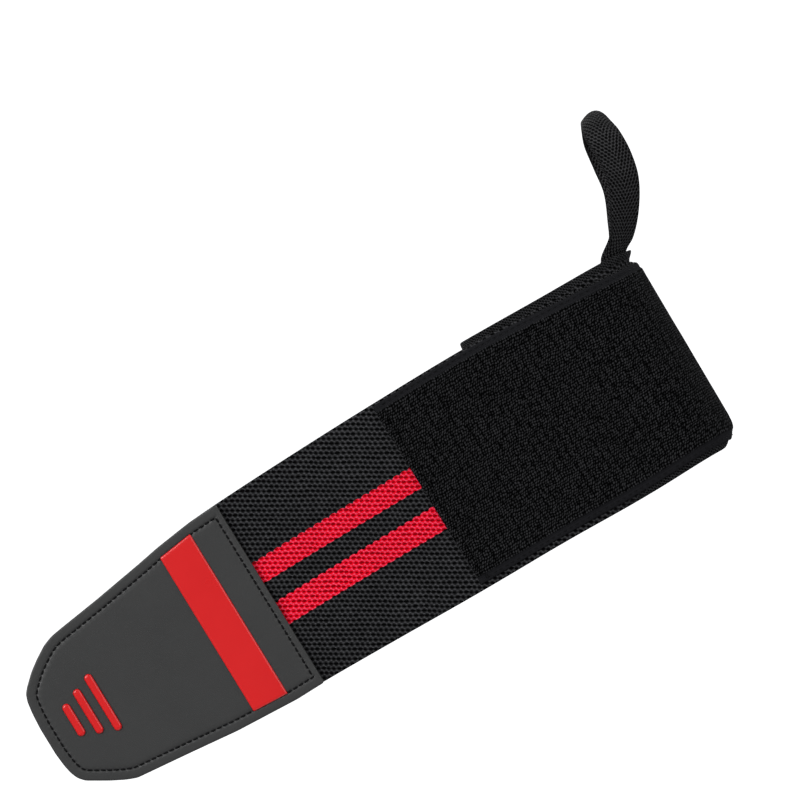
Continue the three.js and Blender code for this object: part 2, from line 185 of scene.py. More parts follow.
@dataclass
class Surface:
    """Vertices and faces that are still being put together, with cloth coordinates.

    Args:
        points: Vertices in millimetres.
        faces: Corner numbers, four to a face.
        cloth: Along and across of each vertex, in millimetres.
    """

    points: Array
    faces: Array
    cloth: Array

    @staticmethod
    def joined(parts: Sequence["Surface"]) -> "Surface":
        """One surface of several, with the corner numbers moved on.

        Args:
            parts: The surfaces.

        Returns:
            All of them as one.
        """
        starts = np.cumsum([0] + [len(p.points) for p in parts[:-1]])
        return Surface(
            np.concatenate([p.points for p in parts]),
            np.concatenate([p.faces + s for p, s in zip(parts, starts)]),
            np.concatenate([p.cloth for p in parts]),
        )


def quads_between(near: Array, far: Array, flipped: bool = False) -> Array:
    """Quads that join corner numbers, along their last axis, to those at the same places in far.

    Args:
        near: Corner numbers.
        far: As many more.
        flipped: Whether the quads turn the other way round.

    Returns:
        The quads, by four.
    """
    corners = [near[..., :-1], near[..., 1:], far[..., 1:], far[..., :-1]]
    if flipped:
        corners = corners[:1] + corners[:0:-1]
    return np.stack(corners, -1).reshape(-1, 4)


def ring_numbers(*shape: int) -> Array:
    """Corner numbers of rings on the last axis, with each ring's first number again at its end."""
    number = np.arange(math.prod(shape)).reshape(shape)
    return np.concatenate([number, number[..., :1]], -1)


def slab(outer: Array, inner: Array, cloth: Array) -> Surface:
    """A closed body between an outer and an inner sheet of points, joined round its edges.

    Args:
        outer: Rows by columns by three; turning from columns to rows looks outward.
        inner: The same for the other face.
        cloth: Rows by columns by two, shared by both faces.

    Returns:
        The closed surface.
    """
    rows, columns = outer.shape[:2]
    number = np.arange(rows * columns).reshape(rows, columns)
    back = number + rows * columns
    quads = [
        quads_between(number[:-1], number[1:]),
        quads_between(back[:-1], back[1:], flipped=True),
        quads_between(number[:, 0], back[:, 0]),
        quads_between(number[:, -1], back[:, -1], flipped=True),
        quads_between(number[0], back[0], flipped=True),
        quads_between(number[-1], back[-1]),
    ]
    points = np.concatenate([outer.reshape(-1, 3), inner.reshape(-1, 3)])
    flat = cloth.reshape(-1, 2)
    return Surface(points, np.concatenate(quads), np.concatenate([flat, flat]))


def make_piece(name: str, surface: Surface, material: Material, sharp: float = 50.0) -> Piece:
    """Puts a surface into a mesh object that rides on the one body.

    Args:
        name: The piece's name.
        surface: Its vertices in millimetres, its faces and its cloth coordinates.
        material: Its finish.
        sharp: Edges that turn by more than this many degrees are shaded sharp.

    Returns:
        The object, at the origin.
    """
    mesh = bpy.data.meshes.new(name)
    mesh.from_pydata((surface.points * METRE).tolist(), [], quads_and_fans(surface))
    mesh.update()
    layer = mesh.uv_layers.new(name="Cloth")
    corners = np.zeros(len(mesh.loops), np.int32)
    mesh.loops.foreach_get("vertex_index", corners)
    layer.data.foreach_set("uv", surface.cloth[corners].astype(np.float32).ravel())
    mesh.polygons.foreach_set("use_smooth", np.ones(len(mesh.polygons), bool))
    mesh.set_sharp_from_angle(angle=math.radians(sharp))
    mesh.materials.append(material)
    mesh.validate()
    piece = bpy.data.objects.new(name, mesh)
    bpy.context.scene.collection.objects.link(piece)
    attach(piece, "root")
    triangles = sum(len(p.vertices) - 2 for p in mesh.polygons)
    LOG.info("%s: %d triangles, finish %s", name, triangles, material.name)
    return piece


# Node writing


class Nodes:
    """Writes shader nodes into a tree in short calls.

    Args:
        tree: The material's or group's node tree.
    """

    def __init__(self, tree: bpy.types.NodeTree) -> None:
        """Keeps the tree."""
        self.tree = tree

    def put(self, socket: Socket, value: object) -> None:
        """Links a socket, or sets a number or a colour on it.

        Args:
            socket: The socket.
            value: What it gets. A colour of three numbers is made opaque, and None changes nothing.
        """
        if isinstance(value, Socket):
            self.tree.links.new(value, socket)
        elif value is not None:
            bare = isinstance(value, tuple) and len(value) == 3 and socket.type == "RGBA"
            socket.default_value = value + (1.0,) if bare else value

    def wire(self, kind: str, output: str | int, inputs: dict[str | int, object], **settings: object) -> Socket:
        """Adds a node and fills its inputs.

        Args:
            kind: The node's kind, without ShaderNode before it.
            output: Name or number of the output that is wanted.
            inputs: What each input gets, by its name or number.
            **settings: The node's own settings.

        Returns:
            The output.
        """
        node = self.tree.nodes.new("ShaderNode" + kind)
        for key, value in settings.items():
            setattr(node, key, value)
        for key, value in inputs.items():
            self.put(node.inputs[key], value)
        return node.outputs[output]

    def math(self, operation: str, a: object, b: object = None, clamp: bool = False) -> Socket:
        """A Math node of one operation on one or two numbers."""
        return self.wire("Math", 0, {0: a, 1: b}, operation=operation, use_clamp=clamp)

    def swing(self, value: object, middle: object, size: float) -> Socket:
        """The middle, moved by the size times how far a number from 0 to 1 is from a half."""
        return self.math("ADD", middle, self.math("MULTIPLY", self.math("SUBTRACT", value, 0.5), size))

    def squared_share(self, value: object, half: object) -> Socket:
        """The square of a number over its half width."""
        return self.math("POWER", self.math("ABSOLUTE", self.math("DIVIDE", value, half)), 2.0)

    def scaled(self, vector: object, by: object) -> Socket:
        """A vector or a colour times a number."""
        return self.wire("VectorMath", 0, {0: vector, "Scale": by}, operation="SCALE")

    def ease(self, value: object, low: float, high: float) -> Socket:
        """A smooth step of a number from low to high."""
        inputs = {"Value": value, "From Min": low, "From Max": high}
        return self.wire("MapRange", "Result", inputs, interpolation_type="SMOOTHSTEP")

    def blend(self, share: object, a: object, b: object) -> Socket:
        """A colour mix: a at 0 and b at 1."""
        return self.wire("Mix", 2, {0: share, 6: a, 7: b}, data_type="RGBA")

    def choose(self, share: object, a: object, b: object) -> Socket:
        """A number mix: a at 0 and b at 1."""
        return self.wire("Mix", 0, {0: share, 2: a, 3: b}, data_type="FLOAT")

    def vector(self, x: object, y: object, z: object = 0.0) -> Socket:
        """Three numbers as a vector."""
        return self.wire("CombineXYZ", 0, {0: x, 1: y, 2: z})

    def noise(self, vector: object, scale: float, detail: float = 3.0, rough: float = 0.55) -> Socket:
        """Noise from 0 to 1 over a vector."""
        inputs = {"Vector": vector, "Scale": scale, "Detail": detail, "Roughness": rough}
        return self.wire("TexNoise", "Fac", inputs)

    def cells(self, vector: object, scale: float, random: float) -> Socket:
        """Distance to the nearest point of a scattered lattice."""
        inputs = {"Vector": vector, "Scale": scale, "Randomness": random}
        return self.wire("TexVoronoi", "Distance", inputs, feature="F1")

    def lot(self, vector: object) -> Socket:
        """One random number for each vector."""
        return self.wire("TexWhiteNoise", "Value", {"Vector": vector}, noise_dimensions="3D")

    def cloth(self) -> tuple[Socket, Socket]:
        """Along and across of the piece's own cloth coordinates, in millimetres."""
        uv = self.wire("UVMap", "UV", {}, uv_map="Cloth")
        return self.wire("SeparateXYZ", "X", {0: uv}), self.wire("SeparateXYZ", "Y", {0: uv})

    def group(self, name: str, **inputs: object) -> Node:
        """Places a node group and fills its inputs.

        Args:
            name: The group's name.
            **inputs: What each input gets, with _ for spaces in its name.

        Returns:
            The group's node.
        """
        node = self.tree.nodes.new("ShaderNodeGroup")
        node.node_tree = bpy.data.node_groups[name]
        for key, value in inputs.items():
            self.put(node.inputs[key.replace("_", " ")], value)
        return node


def new_group(
    name: str, inputs: Sequence[tuple[str, str, object]], outputs: Sequence[tuple[str, str]]
) -> tuple[Nodes, Node, Node]:
    """An empty shader node group with named sockets.

    Args:
        name: The group's name.
        inputs: Name, kind and default of each input.
        outputs: Name and kind of each output.

    Returns:
        The writer, the group's input node and its output node.
    """
    tree = bpy.data.node_groups.new(name, "ShaderNodeTree")
    kinds = {"float": "NodeSocketFloat", "color": "NodeSocketColor", "vector": "NodeSocketVector"}
    for key, kind, default in inputs:
        socket = tree.interface.new_socket(name=key, in_out="INPUT", socket_type=kinds[kind])
        if default is not None:
            socket.default_value = default
    for key, kind in outputs:
        tree.interface.new_socket(name=key, in_out="OUTPUT", socket_type=kinds[kind])
    return Nodes(tree), tree.nodes.new("NodeGroupInput"), tree.nodes.new("NodeGroupOutput")


def write_yarn_lattice() -> None:
    """The weave that every woven piece uses: braided yarn round a lattice of slanted holes.

    With a the length over the pitch and b the width over two rows, p = a + b and q = a - b count
    the lattice. A hole is an oval near the middle of each unit of p and q, long in p, and random
    numbers for the unit vary its place and size. The yarn is a rounded ridge between rows of
    holes that sways with p, plus a knuckle between the holes of a row. Filaments are a fine
    cosine across the ridge, broken by noise.
    """
    w, start, end = new_group(
        "yarn_lattice",
        [("Along", "float", 0.0), ("Across", "float", 0.0), ("Pitch", "float", 3.43), ("Row", "float", 1.04),
         ("Hole Length", "float", 0.34), ("Hole Width", "float", 0.2), ("Filaments", "float", 0.10)],
        [("Height", "float"), ("Gap", "float"), ("Run", "float"), ("Lot", "float")],
    )
    got = start.outputs
    wander = w.noise(w.vector(got["Along"], got["Across"]), 0.09, 2.0)
    run = w.swing(wander, w.math("DIVIDE", got["Along"], got["Pitch"]), 0.5)
    lane = w.math("DIVIDE", got["Across"], w.math("MULTIPLY", got["Row"], 2.0))
    p, q = w.math("ADD", run, lane), w.math("SUBTRACT", run, lane)
    in_p, in_q = (w.math("SUBTRACT", w.math("FRACT", v), 0.5) for v in (p, q))
    lot = w.lot(w.vector(w.math("FLOOR", p), w.math("FLOOR", q), 3.0))
    second = w.math("FRACT", w.math("MULTIPLY", lot, 7.31))
    uneven = w.math("ADD", 0.74, w.math("MULTIPLY", second, 0.44))
    off_p, off_q = w.swing(lot, in_p, 0.16), w.swing(second, in_q, 0.09)
    long = w.squared_share(off_p, w.math("MULTIPLY", got["Hole Length"], uneven))
    wide = w.squared_share(off_q, w.math("MULTIPLY", got["Hole Width"], uneven))
    gap = w.math("SUBTRACT", 1.0, w.ease(w.math("ADD", long, wide), 0.25, 1.7))
    sway = w.math("MULTIPLY", w.math("SINE", w.math("MULTIPLY", in_p, TURN)), 0.09)
    turn = w.math("MULTIPLY", w.math("ADD", in_q, sway), TURN)
    ridge = w.math("SUBTRACT", 0.5, w.math("MULTIPLY", w.math("COSINE", turn), 0.5))
    over = w.math("MULTIPLY", w.math("ADD", in_p, w.math("MULTIPLY", in_q, 0.55)), TURN)
    knuckle = w.math("SUBTRACT", 0.5, w.math("MULTIPLY", w.math("COSINE", over), 0.5))
    yarn = w.math("ADD", w.math("MULTIPLY", ridge, 0.42), w.math("MULTIPLY", knuckle, 0.36))
    yarn = w.math("ADD", 0.22, yarn)
    stretched = w.vector(w.math("MULTIPLY", got["Along"], 0.8), w.math("MULTIPLY", got["Across"], 3.0))
    filament = w.math("MULTIPLY", w.math("COSINE", w.math("MULTIPLY", turn, 4.0)), 0.5)
    hair = w.swing(w.noise(stretched, 2.2, 3.0), filament, 2.2)
    full = w.math("ADD", yarn, w.math("MULTIPLY", hair, got["Filaments"]))
    height = w.math("MULTIPLY", full, w.math("SUBTRACT", 1.0, gap))
    for name, value in (("Height", height), ("Gap", gap), ("Run", run), ("Lot", lot)):
        w.put(end.inputs[name], value)


def write_handling() -> None:
    """Wear that every finish shares: slow changes of tone and gloss, and a little pale dust.

    Slow noise lightens and darkens the colour and moves the roughness. Specks of a fine noise
    above a threshold, and a thin veil of a coarser one, are mixed towards a dust colour.
    """
    w, start, end = new_group(
        "handling",
        [("Color", "color", (0.1, 0.1, 0.1, 1.0)), ("Roughness", "float", 0.6), ("Tone", "float", 0.15),
         ("Dust", "float", 0.1), ("Seed", "float", 0.0)],
        [("Color", "color"), ("Roughness", "float")],
    )
    got = start.outputs
    moved = w.vector(got["Seed"], got["Seed"], got["Seed"])
    place = w.wire("VectorMath", 0, {0: w.wire("TexCoord", "Object", {}), 1: moved}, operation="ADD")
    off = w.math("SUBTRACT", w.noise(place, 45.0, 4.0, 0.6), 0.5)
    tone = w.math("ADD", 1.0, w.math("MULTIPLY", w.math("MULTIPLY", off, 2.0), got["Tone"]))
    specks = w.ease(w.noise(place, 1700.0, 2.0, 0.5), 0.66, 0.78)
    veil = w.ease(w.noise(place, 70.0, 5.0, 0.7), 0.45, 0.85)
    share = w.math("MULTIPLY", w.math("ADD", specks, w.math("MULTIPLY", veil, 0.35)), got["Dust"], clamp=True)
    w.put(end.inputs["Color"], w.blend(share, w.scaled(got["Color"], tone), (0.20, 0.19, 0.18)))
    rough = w.math("ADD", got["Roughness"], w.math("MULTIPLY", off, 0.16), clamp=True)
    w.put(end.inputs["Roughness"], rough)


def write_moulded_grain() -> None:
    """The fine grain of moulded rubber: scattered pits over a slow orange-peel swell."""
    w, start, end = new_group("moulded_grain", [("Scale", "float", 1.0)], [("Height", "float")])
    place = w.scaled(w.wire("TexCoord", "Object", {}), start.outputs["Scale"])
    pits = w.ease(w.cells(place, 2600.0, 1.0), 0.1, 0.55)
    swell = w.noise(place, 700.0, 3.0, 0.6)
    w.put(end.inputs["Height"], w.math("ADD", w.math("MULTIPLY", pits, 0.6), w.math("MULTIPLY", swell, 0.5)))


def new_material(name: str) -> tuple[Material, Nodes, Node]:
    """A material that is ready for nodes.

    Args:
        name: The material's name.

    Returns:
        The material, its writer and its Principled shader.
    """
    material = bpy.data.materials.new(name)
    material.use_nodes = True
    shader = next(n for n in material.node_tree.nodes if n.type == "BSDF_PRINCIPLED")
    return material, Nodes(material.node_tree), shader


def add_bump(w: Nodes, shader: Node, height: Socket, depth: float) -> None:
    """Feeds a height into the shader's normal through a Bump node; depth is in millimetres."""
    inputs = {"Strength": 1.0, "Distance": depth * METRE, "Height": height}
    w.put(shader.inputs["Normal"], w.wire("Bump", "Normal", inputs))


def add_handling(
    w: Nodes, shader: Node, colour: object, roughness: float, tone: float, dust: float, seed: float
) -> Socket:
    """Gives a finish its wear: the handling group feeds the base colour and the roughness.

    Args:
        w: The material's writer.
        shader: Its Principled shader.
        colour: The unworn colour.
        roughness: The unworn roughness.
        tone: Strength of the slow tone changes.
        dust: Share of dust.
        seed: Moves the pattern, so that no two finishes share one.

    Returns:
        The worn colour.
    """
    worn = w.group("handling", Color=colour, Roughness=roughness, Tone=tone, Dust=dust, Seed=seed)
    w.put(shader.inputs["Base Color"], worn.outputs["Color"])
    w.put(shader.inputs["Roughness"], worn.outputs["Roughness"])
    return worn.outputs["Color"]


# Finishes


@dataclass(frozen=True)
class WovenFinish:
    """Woven elastic: braided yarn with painted shade in its holes and on its sides and a painted highlight on
    its crowns, in black with optional red stripes.

    Args:
        name: The material's name.
        pitch: Distance between holes along the cloth.
        row: Distance between rows of holes.
        hole: Half a hole's length and width, in units of the lattice.
        depth: Height of the yarn over a hole.
        selvedge: Distances from the centre line between which the weave turns fine.
        fine: The fine weave's pitch, row and hole width as shares of the plain weave's.
        opened: Distances along between which the fine edge opens up into the plain weave.
        mirrored: Whether the lattice turns over at the centre line, as a braid's does.
        stripes: Lower and upper edge of each red stripe, across the cloth.
        scallop: How far a stripe's edge bulges round each hole.
        ground: The black yarn's colour, darkened by painted shade off the crowns and lightened by a painted
            highlight on them.
        gap: The painted shade in the holes.
        dust: Share of dust.
        specular: Strength of the yarn's plain reflection.
    """

    name: str
    pitch: float = 3.43
    row: float = 1.04
    hole: Pair = (0.34, 0.20)
    depth: float = 0.5
    selvedge: Pair = (35.2, 35.8)
    fine: Triple = (0.5, 0.62, 0.9)
    opened: Pair = (226.0, 252.0)
    mirrored: bool = False
    stripes: tuple[Pair, ...] = ()
    scallop: float = 0.95
    ground: Triple = Yarn.BLACK.value
    gap: Triple = Yarn.BLACK_HOLE.value
    dust: float = 0.02
    specular: float = 0.03

    def stripe_share(self, w: Nodes, run: Socket, across: Socket, low: float, high: float) -> Socket:
        """One inside a stripe, whose edges bulge round the holes by a power of the run's cosine.

        Args:
            w: The material's writer.
            run: The lattice's count along the cloth.
            across: Millimetres across it.
            low: The stripe's lower edge, which bulges about half as far as the upper.
            high: Its upper edge.

        Returns:
            The share.
        """
        found = []
        for edge, outward, reach in ((low, -1.0, 0.55), (high, 1.0, 1.0)):
            odd = round((edge - outward * 0.5) / self.row) % 2
            half_turns = w.math("MULTIPLY", w.math("ADD", run, 0.0 if odd else 0.5), math.pi)
            wave = w.math("POWER", w.math("ABSOLUTE", w.math("COSINE", half_turns)), 0.6)
            bulge = w.math("MULTIPLY", w.math("SUBTRACT", wave, 0.6), self.scallop * outward * reach)
            side = w.math("SUBTRACT", across, w.math("ADD", edge, bulge))
            found.append(w.ease(w.math("MULTIPLY", side, -outward), -0.06, 0.06))
        return w.math("MULTIPLY", found[0], found[1])

    def lattice(self, w: Nodes, along: object, across: object, shares: Triple) -> Node:
        """Places the yarn lattice.

        Args:
            w: The material's writer.
            along: Millimetres along the cloth.
            across: Millimetres across it.
            shares: Its pitch, row and hole width as shares of this weave's.

        Returns:
            The group's node.
        """
        pitch, row, hole = shares
        return w.group(
            "yarn_lattice", Along=along, Across=across, Pitch=self.pitch * pitch, Row=self.row * row,
            Hole_Length=self.hole[0], Hole_Width=self.hole[1] * hole,
        )

    def build(self) -> Material:
        """Writes the material: crowns get a painted highlight, the yarn's sides and the holes get painted
        shade, and stripes are dyed.

        Returns:
            The material.
        """
        material, w, shader = new_material(self.name)
        along, across = w.cloth()
        side = w.math("ABSOLUTE", across)
        lane = side if self.mirrored else across
        lattice = self.lattice(w, along, lane, (1.0, 1.0, 1.0))
        fine = self.lattice(w, along, lane, self.fine)
        closed = w.math("SUBTRACT", 1.0, w.ease(along, *self.opened))
        edge = w.math("MULTIPLY", w.ease(side, *self.selvedge), closed)
        height = w.choose(edge, lattice.outputs["Height"], w.math("MULTIPLY", fine.outputs["Height"], 0.9))
        # The hole mask, which carries the painted shade in the holes.
        holes = w.choose(edge, lattice.outputs["Gap"], fine.outputs["Gap"])
        lot, run = lattice.outputs["Lot"], lattice.outputs["Run"]
        # Painted light by the yarn's height: crown darkens the sides and lightens the tops, and the painted
        # highlight lightens the highest crowns further.
        crown = w.ease(height, 0.25, 0.95)
        painted_highlight = w.ease(height, 0.70, 1.02)
        painted_light = w.math("ADD", 0.16, w.math("MULTIPLY", crown, 0.75))
        painted_light = w.math("ADD", painted_light, w.math("MULTIPLY", painted_highlight, 0.9))
        varied = w.math("ADD", 0.82, w.math("MULTIPLY", lot, 0.36))
        colour = w.scaled(self.ground, w.math("MULTIPLY", varied, painted_light))
        # The colour of the painted shade in the holes, with the red one inside each stripe.
        hole = self.gap
        for low, high in self.stripes:
            inside = self.stripe_share(w, run, across, low, high)
            # Red yarn with painted shade on its sides and a painted highlight on its crowns.
            red = w.blend(crown, Yarn.RED_SIDE.value, w.blend(lot, Yarn.RED.value, Yarn.RED_PALE.value))
            red = w.blend(painted_highlight, red, Yarn.RED_GLINT.value)
            colour = w.blend(inside, colour, red)
            hole = w.blend(inside, hole, Yarn.RED_HOLE.value)
        worn = add_handling(w, shader, colour, roughness=0.85, tone=0.14, dust=self.dust, seed=self.pitch)
        # Painted shade over the holes.
        w.put(shader.inputs["Base Color"], w.blend(holes, worn, hole))
        shader.inputs["Specular IOR Level"].default_value = self.specular
        add_bump(w, shader, height, self.depth)
        return material


@dataclass(frozen=True)
class PileFinish:
    """Knitted pile: small nubs in wavy rows between smooth ribbed selvedges, with painted shade between the
    nubs.

    Args:
        name: The material's name.
        nub: Distance between nubs.
        half_width: Half the patch's width, which the selvedges bound.
        selvedge: The selvedge's width.
        rib: Distances between the selvedge's ribs, along and across.
        course: Distance between the knitted courses.
        swing: Distance between the swings of a row of nubs.
        depth: Height of a nub.
        valley: The painted shade between the nubs.
        crown: The pile's colour on the nubs, whose painted shade deepens towards the valley.
        edge: The selvedge's colour.
        specular: Strength of the yarn's plain reflection.
    """

    name: str
    nub: float = 1.0
    half_width: float = 36.8
    selvedge: float = 2.5
    rib: Pair = (0.55, 0.7)
    course: float = 3.35
    swing: float = 5.2
    depth: float = 0.36
    valley: Triple = (0.0001, 0.0001, 0.0002)
    crown: Triple = (0.036, 0.036, 0.038)
    edge: Triple = (0.013, 0.013, 0.0145)
    specular: float = 0.03

    def build(self) -> Material:
        """Writes the material: cells of a warped lattice for the pile, painted shade from the nubs down into
        the valleys between them, and fine ribs at the edges.

        Returns:
            The material.
        """
        material, w, shader = new_material(self.name)
        along, across = w.cloth()
        sway = w.math("SUBTRACT", w.noise(w.vector(along, across), 0.22, 3.0), 0.5)
        wavy = w.math("ADD", across, w.math("MULTIPLY", sway, 1.9))
        swung = w.math("SINE", w.math("MULTIPLY", across, TURN / self.swing))
        swung = w.math("ADD", along, w.math("MULTIPLY", swung, 0.3))
        slanted = w.math("ADD", swung, w.math("MULTIPLY", wavy, 0.5))
        knot = w.cells(w.vector(slanted, wavy), 1.0 / self.nub, 0.32)
        nub = w.math("SUBTRACT", 1.0, w.math("MULTIPLY", knot, 1.5), clamp=True)
        fuzz = w.noise(w.vector(along, across), 3.2, 3.0)
        pile = w.swing(fuzz, nub, 0.30)
        from_edge = w.math("SUBTRACT", self.half_width, w.math("ABSOLUTE", across))
        field_share = w.ease(from_edge, self.selvedge - 0.35, self.selvedge + 0.45)
        warp, weft = (
            w.math("MULTIPLY", w.math("COSINE", w.math("MULTIPLY", value, TURN / rib)), 0.10)
            for value, rib in zip((along, from_edge), self.rib)
        )
        ribs = w.math("ADD", warp, weft)
        course = w.math("ABSOLUTE", w.math("COSINE", w.math("MULTIPLY", along, math.pi / self.course)))
        pile = w.math("SUBTRACT", pile, w.math("MULTIPLY", w.math("POWER", course, 24.0), 0.16))
        height = w.choose(field_share, w.math("ADD", 0.45, ribs), pile)
        # Painted shade: the colour darkens from the nubs down into the valleys and the courses between them.
        top = w.blend(w.ease(pile, 0.18, 0.84), self.valley, self.crown)
        colour = w.blend(field_share, self.edge, top)
        add_handling(w, shader, colour, roughness=0.9, tone=0.12, dust=0.006, seed=3.0)
        shader.inputs["Specular IOR Level"].default_value = self.specular
        add_bump(w, shader, height, self.depth)
        return material


@dataclass(frozen=True)
class MouldedFinish:
    """Moulded rubber: matte and grained, or smooth and glossy.

    Args:
        name: The material's name.
        colour: Its linear colour.
        roughness: Its roughness.
        grain: Depth of the grain.
        grain_scale: How fine the grain is.
        coat: Weight of the clear top layer.
        coat_roughness: Its roughness.
        tone: Strength of the slow tone changes.
        dust: Share of dust.
        specular: Strength of the plain reflection.
    """

    name: str
    colour: Triple
    roughness: float
    grain: float
    grain_scale: float = 1.0
    coat: float = 0.0
    coat_roughness: float = 0.12
    tone: float = 0.10
    dust: float = 0.03
    specular: float = 0.5

    def build(self) -> Material:
        """Writes the material: grain as bump, and handling over the colour.

        Returns:
            The material.
        """
        material, w, shader = new_material(self.name)
        add_handling(w, shader, self.colour, self.roughness, self.tone, self.dust, self.grain_scale)
        shader.inputs["Specular IOR Level"].default_value = self.specular
        shader.inputs["Coat Weight"].default_value = self.coat
        shader.inputs["Coat Roughness"].default_value = self.coat_roughness
        grain = w.group("moulded_grain", Scale=self.grain_scale)
        add_bump(w, shader, grain.outputs["Height"], self.grain)
        return material


@dataclass(frozen=True)
class ThreadFinish:
    """Twisted sewing thread.

    Args:
        name: The material's name.
        colour: Its linear colour.
        twist: Length of thread in which a ply turns once.
        depth: Depth of the plies.
        specular: Strength of the plain reflection.
    """

    name: str
    colour: Triple
    twist: float = 0.55
    depth: float = 0.06
    specular: float = 0.15

    def build(self) -> Material:
        """Writes the material: slanted plies along the thread's own coordinates, with painted shade between
        them.

        Returns:
            The material.
        """
        material, w, shader = new_material(self.name)
        along, around = w.cloth()
        slant = w.math("ADD", w.math("MULTIPLY", along, TURN / self.twist), w.math("MULTIPLY", around, TURN))
        ply = w.math("ABSOLUTE", w.math("SINE", slant))
        # Painted shade: half as bright in the grooves between the plies.
        colour = w.blend(ply, tuple(c * 0.5 for c in self.colour), self.colour)
        add_handling(w, shader, colour, roughness=0.62, tone=0.1, dust=0.01, seed=8.0)
        shader.inputs["Specular IOR Level"].default_value = self.specular
        add_bump(w, shader, ply, self.depth)
        return material


@dataclass(frozen=True)
class HookFinish:
    """Hook tape's ground between its hooks: tight ribs of woven nylon.

    Args:
        name: The material's name.
        colour: Its linear colour.
        rib: Distance between ribs.
        depth: Depth of the ribs.
    """

    name: str
    colour: Triple = (0.008, 0.008, 0.009)
    rib: float = 0.75
    depth: float = 0.18

    def build(self) -> Material:
        """Writes the material: crossing ribs with painted shade between them and a nylon gleam.

        Returns:
            The material.
        """
        material, w, shader = new_material(self.name)
        along, across = w.cloth()
        warp = w.math("ABSOLUTE", w.math("SINE", w.math("MULTIPLY", across, math.pi / self.rib)))
        weft = w.math("ABSOLUTE", w.math("SINE", w.math("MULTIPLY", along, math.pi / (self.rib * 0.6))))
        height = w.math("ADD", warp, w.math("MULTIPLY", weft, 0.5))
        # Painted shade: down to 0.4 of the colour in the low places between the ribs.
        colour = w.blend(w.math("MULTIPLY", height, 0.66), tuple(c * 0.4 for c in self.colour), self.colour)
        add_handling(w, shader, colour, roughness=0.5, tone=0.12, dust=0.06, seed=5.0)
        add_bump(w, shader, height, self.depth)
        return material


# The band's form, which every cloth piece lies on


